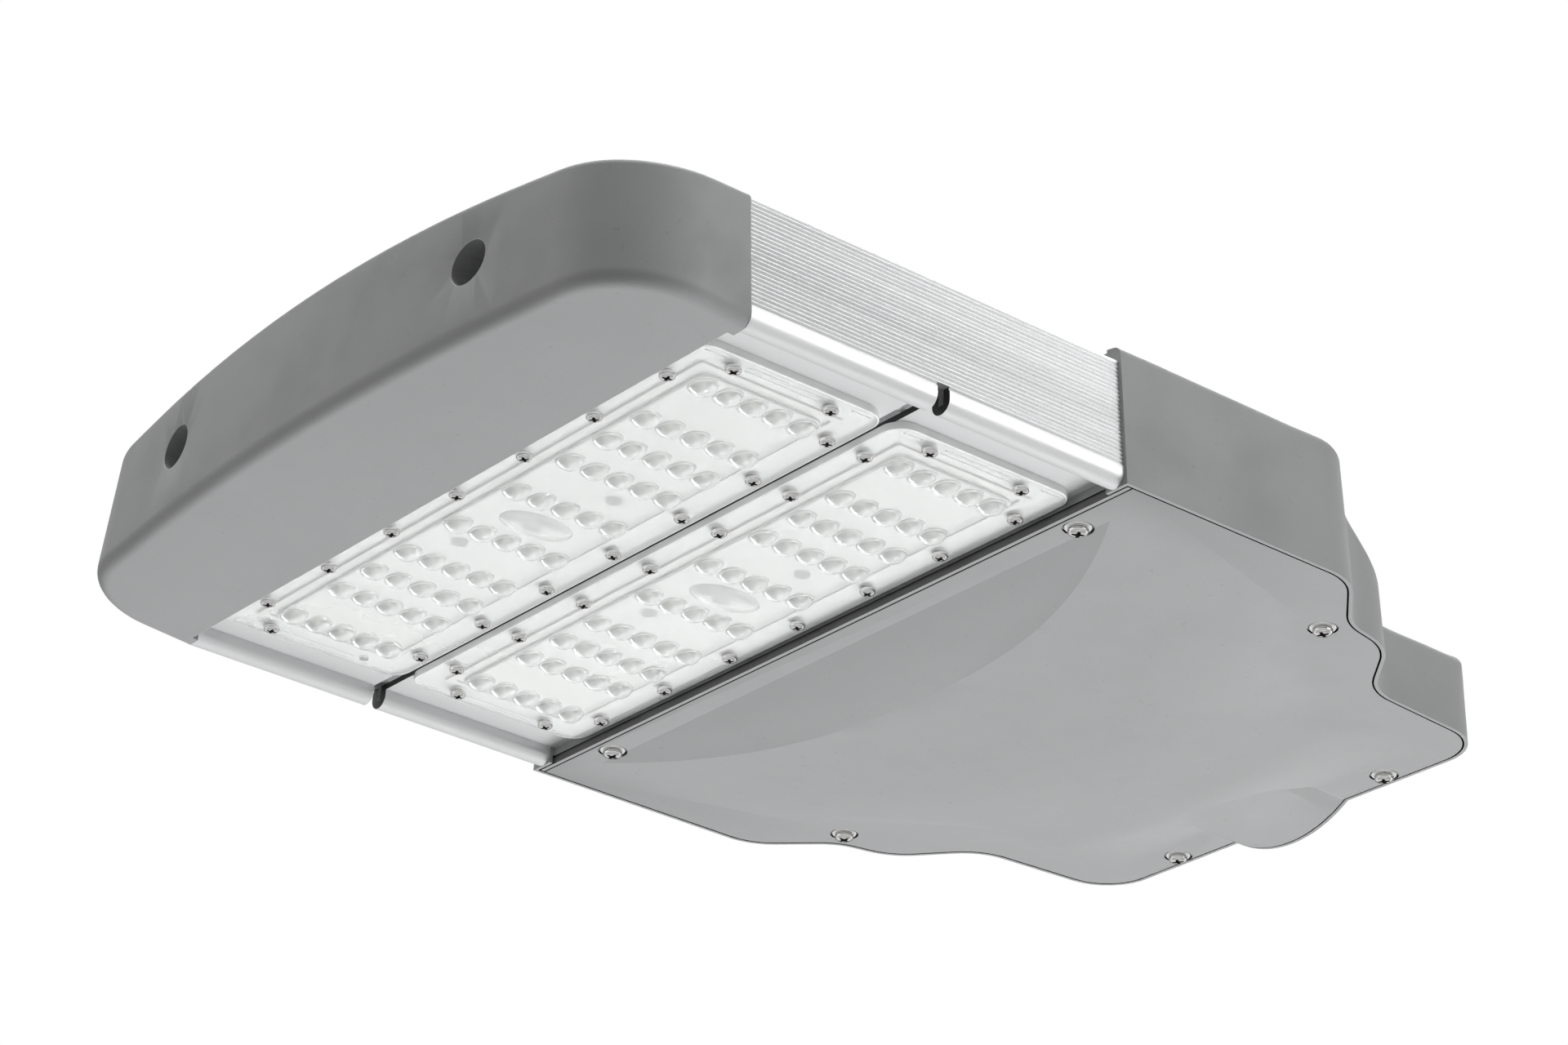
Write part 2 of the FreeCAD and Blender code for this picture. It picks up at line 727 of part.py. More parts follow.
def lens_screw_offsets():
    """A row of screws along each long edge and two at each end."""
    first = lens_width / 2 - lens_screw_margin
    rows = [(side * (lens_length / 2 - lens_screw_edge), first * (2 * k / lens_screw_steps - 1))
            for side in (-1, 1) for k in range(lens_screw_steps + 1)]
    ends = [(sx * (lens_length / 2 - end_screw_margin), sy * (lens_width / 2 - end_screw_edge))
            for sx in (-1, 1) for sy in (-1, 1)]
    return rows + ends


def board_screw_offsets():
    y = dome_first_row + board_screw_step
    return [(board_screw_x, -y), (-board_screw_x, y)]


def dome_offsets():
    half = (dome_columns - 1) / 2
    return [((i - half) * dome_pitch_x, side * y)
            for i in range(dome_columns) for y in dome_rows_y for side in (-1, 1)]


def dome():
    """Low oval lens dome that hangs under z = 0, in flat facets with a flat crown."""
    angles = [math.radians(22.5 + 45 * k) for k in range(8)]
    levels = []
    for height, share in ((panel_wall / 2, 1.0), (0.0, 1.0), (-0.62 * dome_height, 0.82),
                          (-dome_height, 0.38)):
        levels.append([V(share * dome_width / 2 * math.cos(a), share * dome_length / 2 * math.sin(a),
                         height) for a in angles])
    faces = [polygon(levels[0]), polygon(levels[-1])]
    for upper, lower in zip(levels, levels[1:]):
        faces += [polygon([upper[k - 1], upper[k], lower[k], lower[k - 1]]) for k in range(8)]
    return Part.Solid(Part.Shell(faces))


def make_lens_plate(x):
    top = rim_z + plate_bottom
    plate = prism(rounded_rectangle(x, 0, lens_length / 2, lens_width / 2, lens_corner_r), flange_z, top)
    panel = prism(rounded_rectangle(x, 0, panel_half_x, panel_half_y, panel_corner_r),
                  flange_z - panel_drop, top)
    plate = fused(plate, [panel])
    cavity = inset(rounded_rectangle(x, 0, panel_half_x, panel_half_y, panel_corner_r), panel_wall)
    plate = plate.cut(prism(cavity, flange_z - panel_drop + panel_wall, top + 1))
    groove_in = inset(cavity, -groove_offset)
    groove_out = inset(groove_in, -groove_width)
    plate = plate.cut(prism(groove_out, top - groove_depth, top + 1).cut(
        prism(groove_in, top - groove_depth - 1, top + 2)))
    plate = plate.cut(group(rod(m3_r + screw_clearance, x + dx, dy, flange_z - 1, lens_flange + 2)
                            for dx, dy in lens_screw_offsets()))
    one = dome()
    return plate.fuse([at(one, x + dx, dy, flange_z - panel_drop) for dx, dy in dome_offsets()])


def make_lens_gasket(x):
    cavity = inset(rounded_rectangle(x, 0, panel_half_x, panel_half_y, panel_corner_r), panel_wall)
    ring_in = inset(cavity, -groove_offset - seal_clearance)
    ring_out = inset(cavity, -groove_offset - groove_width + seal_clearance)
    top = rim_z + plate_bottom
    low = top - groove_depth
    return prism(ring_out, low, top).cut(prism(ring_in, low - 1, top + 1))


def make_board(x):
    half_x = panel_half_x - panel_wall - board_clearance
    half_y = panel_half_y - panel_wall - board_clearance
    board = prism(rounded_rectangle(x, 0, half_x, half_y, panel_corner_r - panel_wall), board_z,
                  board_z + board_thickness)
    holes = [rod(m3_r + screw_clearance, x + dx, dy, board_z - 1, board_thickness + 2)
             for dx, dy in board_screw_offsets()]
    holes.append(rod(cable_hole_r, x, 0, board_z - 1, board_thickness + 2))
    return board.cut(group(holes))


def make_chips(x):
    chip = Part.makeBox(chip_size, chip_size, chip_height,
                        V(-chip_size / 2, -chip_size / 2, -chip_height))
    return group(at(chip, x + dx, dy, board_z) for dx, dy in dome_offsets())


def make_cable_seal(x):
    """Rubber plug that leads the module's cable through board and plate."""
    body_r = cable_hole_r - cable_seal_clearance
    top = board_thickness + plate_thickness
    seal = turned([(0, -cable_seal_flange_t), (cable_seal_flange_r, -cable_seal_flange_t),
                   (cable_seal_flange_r, 0), (body_r, 0), (body_r, top), (0, top)])
    return at(seal, x, 0, board_z)


# Front cap

cap_outline = mirrored([
    (cap_rear_x + cap_corner_back, cap_half, 0.0),
    (cap_rear_x - cap_corner_back, cap_half, cap_corner_r),
    (cap_rear_x - cap_nose_back, 0.0, cap_nose_r),
])


def floor_space(raise_by):
    """Everything above the sloping underside of the cap."""
    far = 2 * cap_nose_back
    space = box(-far, far, -2 * cap_half, 2 * cap_half, 0, 3 * cap_top)
    space.rotate(V(0, 0, 0), V(0, 1, 0), math.degrees(math.atan(cap_floor_slope)))
    return space.translated(V(sink_front_x, 0, rim_z + raise_by))


def cap_body(corners, raise_floor, lower_top, rear_x):
    high = rim_z + cap_top + 2 * cap_crown
    body = drafted(corners, rim_z + cap_top, rim_z - cap_wall, high)
    body = body.common(cap_crown_solid(lower_top)).common(floor_space(raise_floor))
    return body.common(box(2 * cap_rear_x, rear_x, -2 * cap_half, 2 * cap_half, 2 * rim_z, high))


def on_cap_floor(p):
    height = rim_z + cap_floor_slope * (sink_front_x - p.x)
    return abs(p.z - height) < surface_tolerance


def on_cap_top(p):
    height = crown_height(p.x, p.y, cap_half, cap_top, cap_top + cap_crown)
    return abs(p.z - height) < surface_tolerance


def ahead_of_rear(edges):
    """Edges of the cap that aren't on its rear plane."""
    return [e for e in edges if e.CenterOfMass.x < cap_rear_x - surface_tolerance]


def make_front_cap():
    body = cap_body(cap_outline, 0.0, 0.0, cap_rear_x)
    body = body.makeFillet(cap_bottom_round, ahead_of_rear(edges_where(body, on_cap_floor)))
    body = body.makeFillet(cap_top_round, ahead_of_rear(edges_where(body, on_cap_top)))
    inside = cap_body(inset(cap_outline, cap_wall), cap_wall, cap_wall, cap_rear_x + 1)
    upstand = box(sink_front_x - cap_wall, sink_front_x, -cap_half, cap_half, rim_z - 1,
                  rim_z + cap_upstand_top)
    boss_r = counterbore_r + boss_wall
    bosses = [bar(boss_r, cap_rear_x - 2 * cap_nose_back, sink_front_x, y, z) for y, z in outer_ports]
    solid = fused(upstand, bosses).common(body)
    shell = fused(body.cut(inside), [solid])
    # The floor and the upstand end where the plate of the heat sink starts
    under = box(sink_front_x, cap_rear_x + 1, -ear_inner_half, ear_inner_half, 2 * rim_z,
                rim_z + cap_upstand_top)
    shell = shell.cut(under)
    bores = [bar(counterbore_r, 2 * cap_rear_x, sink_front_x - counterbore_floor, y, z)
             for y, z in outer_ports]
    bores += [bar(m5_r + screw_clearance, sink_front_x - 2 * counterbore_floor, sink_front_x + 1, y, z)
              for y, z in outer_ports]
    return shell.cut(group(bores))


# Gear tray and electrical parts

tray_z = rim_z + tray_height
tray_top_z = tray_z + tray_thickness
tray_front_x = front_wall_x + housing_wall + tray_front_gap
tray_rear_x = -flank_back - tray_rear_gap
tray_mid_x = (tray_front_x + tray_rear_x) / 2
tray_length = tray_rear_x - tray_front_x
tray_half = housing_half - tray_setback
tray_screw_places = [(tray_mid_x + sx * (tray_length / 2 - tray_screw_inset),
                      sy * (tray_half - tray_screw_inset)) for sx in (-1, 1) for sy in (-1, 1)]
terminal_x = tray_rear_x + tongue_length / 2
earth_z = rim_z + tray_height - earth_boss_drop + tray_thickness
surge_y = tray_half - surge_margin - surge_width / 2
driver_low_y = -tray_half + driver_margin + driver_lug
driver_high_y = surge_y - surge_width / 2 - driver_to_surge - driver_lug
driver_screw_places = [(tray_mid_x, y) for y in (driver_low_y - driver_lug / 2,
                                                 driver_high_y + driver_lug / 2)]
surge_screw_places = [(tray_mid_x, surge_y + side * (surge_width + surge_lug) / 2) for side in (-1, 1)]
terminal_screw_places = [(terminal_x, side * (terminal_length + terminal_lug) / 2) for side in (-1, 1)]


def clearance_holes(places, z_low, length):
    return group(rod(m4_r + screw_clearance, x, y, z_low, length) for x, y in places)


def make_gear_tray():
    plate = prism(rounded_rectangle(tray_mid_x, 0, tray_length / 2, tray_half, tray_corner_r),
                  tray_z, tray_top_z)
    tongue = box(tray_mid_x, tray_rear_x + tongue_length, -tongue_half, tongue_half,
                 tray_z, tray_top_z)
    places = tray_screw_places + driver_screw_places + surge_screw_places + terminal_screw_places
    return fused(plate, [tongue]).cut(clearance_holes(places, tray_z - 1, tray_thickness + 2))


def case_on_tray(x, half_x, y_low, y_high, height, lug, lug_half_x, screw_places):
    """Case that hangs from the tray by a lug with a screw hole at each end."""
    corners = rounded_rectangle(x, (y_low + y_high) / 2, half_x, (y_high - y_low) / 2, case_corner_r)
    case = prism(corners, tray_z - height, tray_z)
    lugs = box(x - lug_half_x, x + lug_half_x, y_low - lug, y_high + lug, tray_z - driver_lug_t, tray_z)
    return fused(case, [lugs]).cut(clearance_holes(screw_places, tray_z - driver_lug_t - 1,
                                                   driver_lug_t + 2))


def make_driver():
    case = case_on_tray(tray_mid_x, driver_width / 2, driver_low_y, driver_high_y, driver_height,
                        driver_lug, driver_width / 4, driver_screw_places)
    grooves = []
    for k in range(6):
        x = tray_mid_x + driver_width * ((k + 0.5) / 6 - 0.5)
        grooves.append(box(x - driver_groove / 2, x + driver_groove / 2, driver_low_y + driver_lug,
                           driver_high_y - driver_lug, tray_z - driver_height - 1,
                           tray_z - driver_height + driver_groove / 2))
    return case.cut(group(grooves))


def make_surge_protector():
    return case_on_tray(tray_mid_x, surge_length / 2, surge_y - surge_width / 2,
                        surge_y + surge_width / 2, surge_height, surge_lug, surge_lug_width / 2,
                        surge_screw_places)


def make_terminal_block():
    x0 = terminal_x - terminal_width / 2
    block = case_on_tray(terminal_x, terminal_width / 2, -terminal_length / 2, terminal_length / 2,
                         terminal_height, terminal_lug, terminal_width / 2, terminal_screw_places)
    pitch = terminal_length / terminal_poles
    cuts = []
    for k in range(terminal_poles):
        y = -terminal_length / 2 + pitch * (k + 0.5)
        cuts.append(rod(terminal_hole_r, terminal_x, y, tray_z - terminal_height - 1, terminal_height / 2))
        cuts.append(bar(terminal_hole_r, x0 + terminal_width / 2, x0 + terminal_width + 1, y,
                        tray_z - terminal_height / 2))
    return block.cut(group(cuts))


# Pole saddle

saddle_ear_top = -saddle_ear_drop
saddle_bolt_y = pole_r + saddle_bolt_out
saddle_ear_half = saddle_bolt_y + saddle_ear_margin


def make_saddle():
    inner = pole_r + saddle_clearance
    outer = inner + saddle_thickness
    x0 = -saddle_back - saddle_length / 2
    x1 = x0 + saddle_length
    ear_low = saddle_ear_top - saddle_thickness
    edge = outer * math.sin(math.radians(saddle_angle))
    arch = bar(outer, x0, x1, 0, 0).common(box(x0, x1, -edge, edge, -outer, ear_low + saddle_thickness))
    ears = box(x0, x1, -saddle_ear_half, saddle_ear_half, ear_low, saddle_ear_top)
    saddle = fused(arch, [ears]).cut(bar(inner, x0 - 1, x1 + 1, 0, 0))
    holes = [rod(m8_r + screw_clearance, -saddle_back, side * saddle_bolt_y, ear_low - 1,
                 saddle_thickness + 2) for side in (-1, 1)]
    return saddle.cut(group(holes))


def make_grommet():
    wall = housing_wall
    profile = [(grommet_bore_r, -grommet_flange_t), (grommet_flange_r, -grommet_flange_t),
               (grommet_flange_r, 0), (grommet_hole_r - 0.1, 0), (grommet_hole_r - 0.1, wall),
               (grommet_flange_r, wall), (grommet_flange_r, wall + grommet_flange_t),
               (grommet_bore_r, wall + grommet_flange_t)]
    return along_x(turned(profile), front_wall_x, 0, rim_z + grommet_height)


# All pieces

def make_parts():
    parts = {}
    lens_screw = screw(m3_r, m3_head_r, m3_head_h, lens_flange + plate_thickness - tip_clearance)
    board_screw = screw(m3_r, m3_head_r, m3_low_head_h, board_thickness + plate_thickness - tip_clearance)
    for name, x in module_x.items():
        places = lens_screw_offsets()
        if name == "front":
            places = places[:-1]     # the last end screw is missing
        parts["lens_plate_" + name] = make_lens_plate(x)
        parts["lens_gasket_" + name] = make_lens_gasket(x)
        parts["lens_screws_" + name] = group(at(lens_screw, x + dx, dy, flange_z) for dx, dy in places)
        parts["led_board_" + name] = make_board(x)
        parts["led_chips_" + name] = make_chips(x)
        parts["board_screws_" + name] = group(at(board_screw, x + dx, dy, board_z)
                                              for dx, dy in board_screw_offsets())
        parts["cable_seal_" + name] = make_cable_seal(x)
    parts["heat_sink"] = make_heat_sink()
    parts["front_cap"] = make_front_cap()
    cap_screw = screw(m5_r, m5_head_r, m5_head_h, cap_screw_length)
    parts["cap_screws"] = group(along_x(cap_screw, sink_front_x - counterbore_floor, y, z)
                                for y, z in outer_ports)
    parts["driver_housing"] = make_driver_housing()
    wall_screw = screw(m5_r, m5_head_r, m5_head_h, housing_screw_length)
    parts["housing_screws"] = group(along_x(wall_screw, front_wall_x + housing_wall, y, z, -1)
                                    for y, z in port_places)
    parts["wire_grommet"] = make_grommet()
    parts["cover_gasket"] = cover_gasket_shape()
    parts["housing_cover"] = make_cover()
    cover_screw = screw(m4_r, m4_head_r, m4_head_h, cover_screw_length)
    cover_washer = washer(m4_r + screw_clearance, m4_washer_r, m4_washer_t)
    parts["cover_screws"] = group(at(cover_screw, x, y, rim_z) for x, y in cover_screw_places)
    parts["cover_washers"] = group(at(cover_washer, x, y, rim_z) for x, y in cover_screw_places)
    parts["gear_tray"] = make_gear_tray()
    tray_screw = screw(m4_r, m4_head_r, m4_head_h, tray_screw_length)
    parts["tray_screws"] = group(at(tray_screw, x, y, tray_z) for x, y in tray_screw_places)
    parts["led_driver"] = make_driver()
    parts["surge_protector"] = make_surge_protector()
    parts["terminal_block"] = make_terminal_block()
    lug_screw = screw(m4_r, m4_head_r, m4_head_h, driver_lug_t + tray_thickness + lug_screw_excess)
    for name, places in (("driver_screws", driver_screw_places), ("surge_screws", surge_screw_places),
                         ("terminal_screws", terminal_screw_places)):
        parts[name] = group(at(lug_screw, x, y, tray_z - driver_lug_t) for x, y in places)
    parts["earth_screw"] = at(screw(m5_r, m5_head_r, m5_head_h, housing_screw_length - 2),
                              -earth_back, earth_y, earth_z)
    parts["pole_saddle"] = make_saddle()
    bolt = screw(m8_r, m8_head_r, m8_head_h, saddle_bolt_length)
    bolt_washer = washer(m8_r + screw_clearance, m8_washer_r, m8_washer_t)
    seat = saddle_ear_top - saddle_thickness - m8_washer_t
    parts["saddle_bolts"] = group(at(bolt, -saddle_back, side * saddle_bolt_y, seat) for side in (-1, 1))
    parts["saddle_washers"] = group(at(bolt_washer, -saddle_back, side * saddle_bolt_y, seat)
                                    for side in (-1, 1))
    return parts


os.makedirs("parts", exist_ok=True)
for part_name, part_shape in make_parts().items():
    save(part_name, part_shape)
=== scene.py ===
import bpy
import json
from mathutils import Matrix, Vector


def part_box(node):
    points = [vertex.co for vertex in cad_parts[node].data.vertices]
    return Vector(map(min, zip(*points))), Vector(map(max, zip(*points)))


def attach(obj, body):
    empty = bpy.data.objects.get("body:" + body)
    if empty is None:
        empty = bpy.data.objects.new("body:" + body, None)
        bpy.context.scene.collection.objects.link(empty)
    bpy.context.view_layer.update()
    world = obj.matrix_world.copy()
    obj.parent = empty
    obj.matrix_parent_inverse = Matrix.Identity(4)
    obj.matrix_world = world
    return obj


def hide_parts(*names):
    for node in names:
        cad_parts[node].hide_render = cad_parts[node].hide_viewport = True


bl_info = {
    "name": "LED street light head",
    "version": (1, 0, 0),
    "blender": (4, 5, 0),
    "location": "3D View > Sidebar > Street light",
    "description": "Pieces, finishes and stage for the packed LED street light head",
    "category": "Object",
}

import json
import math

import bmesh
import bpy
from bpy.props import FloatProperty, FloatVectorProperty, IntProperty, PointerProperty
from mathutils import Matrix, Vector

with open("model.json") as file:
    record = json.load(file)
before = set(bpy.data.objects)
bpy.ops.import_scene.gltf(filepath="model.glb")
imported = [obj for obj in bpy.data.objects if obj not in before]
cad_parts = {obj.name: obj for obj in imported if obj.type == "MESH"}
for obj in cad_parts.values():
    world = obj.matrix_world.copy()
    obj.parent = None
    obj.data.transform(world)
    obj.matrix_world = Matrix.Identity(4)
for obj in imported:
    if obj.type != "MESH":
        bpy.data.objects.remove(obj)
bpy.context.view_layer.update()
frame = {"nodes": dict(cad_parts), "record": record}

MM = 0.001


def centre_x(node):
    low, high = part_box(node)
    return (low[0] + high[0]) / 2


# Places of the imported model, in metres
rim_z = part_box("heat_sink")[0][2]        # underside of the heat sink, rim of the housing
plate_bottom = rim_z + 6.2 * MM
flange_face = plate_bottom - 2.6 * MM
panel_face = flange_face - 1.0 * MM
board_face = plate_bottom - 1.0 * MM
module_x = {place: centre_x("lens_plate_" + place) for place in ("front", "rear")}
slot_x = (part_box("lens_plate_front")[1][0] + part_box("lens_plate_rear")[0][0]) / 2
cover_screw_places = [(x * MM, side * y * MM)
                      for x, y in ((-224.7, 126.5), (-112.8, 127.7), (-7.2, 54.4))
                      for side in (-1, 1)]
cover_middle_x = -120 * MM
groove_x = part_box("housing_cover")[0][0] + 1.8 * MM

# Lens plates in millimetres, each outline as half length, half width and corner radius.
# Holes and domes are measured from the middle of the plate.
plate_outline = (38.2, 136.7, 8)
panel_outline = (25, 122, 5)
cavity_outline = (24, 121, 4)
lens_screw_row = 32.2
lens_screw_step = 37.65
end_screw = (19.5, 130.1)
lens_hole_radius = 1.75
board_screw = (9.6, 30.2)
dome_step = 9.9
dome_rows = (16.5, 45.9, 65.85, 85.8, 115.2)
border_width = 1.1                       # flat border that ends the plate
bulge_half = (14.0, 8.4)                 # bulge over the cable seal
# Fine ridges: from and to along the head, and how far out across it
ridge_rows = ((-15.5, 15.5, 133.3), (-15.5, 15.5, 130.6), (25.5, 33.0, 133.3),
              (-33.0, -25.5, 133.3))
ridge_half_width = 0.45
ridge_zone = (129.9, 134)                # nothing but ridges stands out of the plate here

# Bulge and hollows start this far inside the plate, so that no two faces coincide
start_inside = 0.3 * MM

# Castings, in millimetres
front_gap_x = (-236, -231)               # gap between the heat sink and housing or cover
front_gap_top = 5                        # above the rim the housing's front wall is in the open
gap_depth = (0.12, 4.5)                  # walls this deep above the rim lie in shade and get painted shade
washer_seat_radius = 5.4


# Sizes and colours that a user would change

class LensSizes(bpy.types.PropertyGroup):
    dome_width: FloatProperty(
        name="Dome width", description="Across the base of one lens dome, along the head",
        default=9.3 * MM, min=6 * MM, max=9.8 * MM, precision=4, subtype="DISTANCE", unit="LENGTH")
    dome_length: FloatProperty(
        name="Dome length", description="Across the base of one lens dome, across the head",
        default=12.0 * MM, min=8 * MM, max=16 * MM, precision=4, subtype="DISTANCE", unit="LENGTH")
    dome_height: FloatProperty(
        name="Dome height", description="How far a lens dome stands out of its panel",
        default=2.8 * MM, min=1 * MM, max=4 * MM, precision=4, subtype="DISTANCE", unit="LENGTH")
    edge_round: FloatProperty(
        name="Edge rounding", description="Rounding along the edges of the lens plates",
        default=0.5 * MM, min=0.1 * MM, max=1 * MM, precision=4, subtype="DISTANCE", unit="LENGTH")


class ScrewSizes(bpy.types.PropertyGroup):
    lens_head_radius: FloatProperty(
        name="Lens screw head radius",
        description="Radius of the pan heads that hold the lens plates",
        default=2.75 * MM, min=2 * MM, max=4 * MM, precision=4, subtype="DISTANCE", unit="LENGTH")
    cover_head_radius: FloatProperty(
        name="Cover screw head radius", description="Radius of the pan heads that hold the cover",
        default=3.6 * MM, min=2 * MM, max=5 * MM, precision=4, subtype="DISTANCE", unit="LENGTH")
    washer_radius: FloatProperty(
        name="Washer radius", description="Outer radius of the washers under the cover screws",
        default=4.85 * MM, min=4 * MM, max=6 * MM, precision=4, subtype="DISTANCE", unit="LENGTH")
    turn_seed: IntProperty(
        name="Turn seed", description="Seed for how far each screw is turned", default=4, min=0)


class CastingSizes(bpy.types.PropertyGroup):
    edge_round: FloatProperty(
        name="Edge rounding", description="Small rounding along the sharp edges of the castings",
        default=0.35 * MM, min=0.0, max=1 * MM, precision=4, subtype="DISTANCE", unit="LENGTH")


class FinishColours(bpy.types.PropertyGroup):
    paint: FloatVectorProperty(
        name="Powder coat", description="Grey of the painted castings", subtype="COLOR",
        default=(0.335, 0.338, 0.342), min=0, max=1)
    aluminium: FloatVectorProperty(
        name="Anodised aluminium", description="Tone of the extruded heat sink", subtype="COLOR",
        default=(0.73, 0.735, 0.74), min=0, max=1)
    lens: FloatVectorProperty(
        name="Lens plates", description="Tint of the clear lens plates", subtype="COLOR",
        default=(0.88, 0.89, 0.885), min=0, max=1)
    steel: FloatVectorProperty(
        name="Stainless steel", description="Tone of the visible screws", subtype="COLOR",
        default=(0.78, 0.775, 0.765), min=0, max=1)


class StageSizes(bpy.types.PropertyGroup):
    floor_drop: FloatProperty(
        name="Floor drop", description="Floor level below the pole axis",
        default=4.2, min=0.5, max=8, subtype="DISTANCE", unit="LENGTH")
    low_lamp_power: FloatProperty(
        name="Low lamp power", description="Strength of the soft lamp below the pole side",
        default=214.0, min=0, max=900, unit="POWER")
    top_lamp_power: FloatProperty(
        name="Top lamp power", description="Strength of the soft lamp above the head",
        default=60.0, min=0, max=500, unit="POWER")
    front_lamp_power: FloatProperty(
        name="Front lamp power", description="Strength of the soft lamp above the front cap",
        default=10.8, min=0, max=500, unit="POWER")
    side_lamp_power: FloatProperty(
        name="Side lamp power",
        description="Strength of the soft lamp that the ribbed side reflects",
        default=34.0, min=0, max=500, unit="POWER")
    room_light: FloatProperty(
        name="Room light", description="Even light from all around", default=0.12, min=0, max=2)


def scene_settings(name):
    return getattr(bpy.context.scene, name)


# Mesh helpers

def mesh_object(name, mesh):
    piece = bpy.data.objects.new(name, mesh)
    bpy.context.scene.collection.objects.link(piece)
    return piece


def smooth(mesh, angle):
    mesh.polygons.foreach_set("use_smooth", [True] * len(mesh.polygons))
    mesh.set_sharp_from_angle(angle=math.radians(angle))


def built(name, bm, smooth_angle=35):
    """New object from a finished bmesh."""
    bmesh.ops.recalc_face_normals(bm, faces=bm.faces)
    mesh = bpy.data.meshes.new(name)
    bm.to_mesh(mesh)
    bm.free()
    smooth(mesh, smooth_angle)
    return mesh_object(name, mesh)


def skin_rings(bm, rings):
    """Faces between rings of equal length, closed at both ends."""
    loops = [[bm.verts.new(p) for p in ring] for ring in rings]
    for lower, upper in zip(loops, loops[1:]):
        for k in range(len(lower)):
            bm.faces.new((lower[k - 1], lower[k], upper[k], upper[k - 1]))
    bm.faces.new(loops[0])
    bm.faces.new(loops[-1])


def round_rectangle(x, half_x, half_y, radius, z, steps=8):
    points = []
    for quarter, (sx, sy) in enumerate(((1, 1), (-1, 1), (-1, -1), (1, -1))):
        for k in range(steps + 1):
            a = math.radians(90 * (quarter + k / steps))
            points.append((x + sx * (half_x - radius) + radius * math.cos(a),
                           sy * (half_y - radius) + radius * math.sin(a), z))
    return points


def slab(bm, x, outline, levels):
    """Rounded slab from pairs of inset and height."""
    half_x, half_y, radius = (size * MM for size in outline)
    skin_rings(bm, [round_rectangle(x, half_x - inset, half_y - inset,
                                    max(radius - inset, 0.2 * MM), z) for inset, z in levels])


def oval(x, y, half_x, half_y, z, count):
    turns = [2 * math.pi * k / count for k in range(count)]
    return [(x + half_x * math.cos(a), y + half_y * math.sin(a), z) for a in turns]


def circle(x, y, radius, z, count):
    return oval(x, y, radius, radius, z, count)


def settle(piece):
    """Turn a piece and its modifiers into a plain mesh."""
    bpy.context.view_layer.update()
    evaluated = piece.evaluated_get(bpy.context.evaluated_depsgraph_get())
    mesh = bpy.data.meshes.new_from_object(evaluated)
    mesh.name = piece.name
    piece.modifiers.clear()
    piece.data = mesh
    return piece


def boolean(target, tool, operation):
    """Join the tool to the target or cut it out, and use the tool up."""
    modifier = target.modifiers.new("Cut", "BOOLEAN")
    modifier.operation = operation
    modifier.solver = "EXACT"
    modifier.object = tool
    settle(target)
    bpy.data.objects.remove(tool)


def bevel_edges(piece, width, angle=32, highlight_slot=-1, sharp=32):
    smooth(piece.data, sharp)
    bevel = piece.modifiers.new("Edges", "BEVEL")
    bevel.width = width
    bevel.segments = 2
    bevel.limit_method = "ANGLE"
    bevel.angle_limit = math.radians(angle)
    bevel.harden_normals = True
    # Faces made by the bevel take the highlight slot, a painted highlight on the castings
    bevel.material = highlight_slot
    settle(piece)


def clean(mesh):
    """Join points that a boolean left almost together."""
    bm = bmesh.new()
    bm.from_mesh(mesh)
    bmesh.ops.remove_doubles(bm, verts=bm.verts, dist=0.01 * MM)
    bmesh.ops.dissolve_degenerate(bm, dist=0.005 * MM, edges=bm.edges)
    bm.to_mesh(mesh)
    bm.free()


def merged_copy(node, name):
    """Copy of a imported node's mesh with its triangles joined up."""
    bm = bmesh.new()
    bm.from_mesh(frame["nodes"][node].data)
    bmesh.ops.remove_doubles(bm, verts=bm.verts, dist=2e-6)
    bmesh.ops.dissolve_limit(bm, angle_limit=math.radians(0.05), verts=bm.verts, edges=bm.edges)
    mesh = bpy.data.meshes.new(name)
    bm.to_mesh(mesh)
    bm.free()
    return mesh_object(name, mesh)


# Material names by finish, filled in by the materials operator
MATERIAL_NAMES = {}


def finish_material(finish):
    return bpy.data.materials[MATERIAL_NAMES[finish]]


def dress(piece, *finishes):
    """Give a piece its finishes; faces pick them by their place in the list."""
    piece.data.materials.clear()
    for finish in finishes:
        piece.data.materials.append(finish_material(finish))


def finish_piece(piece, node):
    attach(piece, "root")
    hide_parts(node)


# Shader helpers

def link(tree, value, socket):
    """Feed a socket from a number or from another node's output."""
    if isinstance(value, (int, float)):
        socket.default_value = value
    else:
        tree.links.new(value, socket)


def math_node(tree, operation, first, second):
    node = tree.nodes.new("ShaderNodeMath")
    node.operation = operation
    link(tree, first, node.inputs[0])
    link(tree, second, node.inputs[1])
    return node.outputs[0]


def weighted_sum(tree, *terms):
    """Sum of pairs of output and weight."""
    total = None
    for value, weight in terms:
        part = math_node(tree, "MULTIPLY", value, weight)
        total = part if total is None else math_node(tree, "ADD", total, part)
    return total


def stretched(tree, vector, factors):
    node = tree.nodes.new("ShaderNodeVectorMath")
    node.operation = "MULTIPLY"
    tree.links.new(vector, node.inputs[0])
    node.inputs[1].default_value = factors
    return node.outputs[0]


def noise(tree, vector, scale, detail=2.0, roughness=0.5):
    node = tree.nodes.new("ShaderNodeTexNoise")
    tree.links.new(vector, node.inputs["Vector"])
    link(tree, scale, node.inputs["Scale"])
    node.inputs["Detail"].default_value = detail
    node.inputs["Roughness"].default_value = roughness
    return node.outputs["Fac"]


def ranged(tree, value, low=0.0, high=1.0, to_low=0.0, to_high=1.0, kind="LINEAR"):
    node = tree.nodes.new("ShaderNodeMapRange")
    node.interpolation_type = kind
    tree.links.new(value, node.inputs["Value"])
    for label, limit in (("From Min", low), ("From Max", high), ("To Min", to_low),
                         ("To Max", to_high)):
        node.inputs[label].default_value = limit
    return node.outputs["Result"]


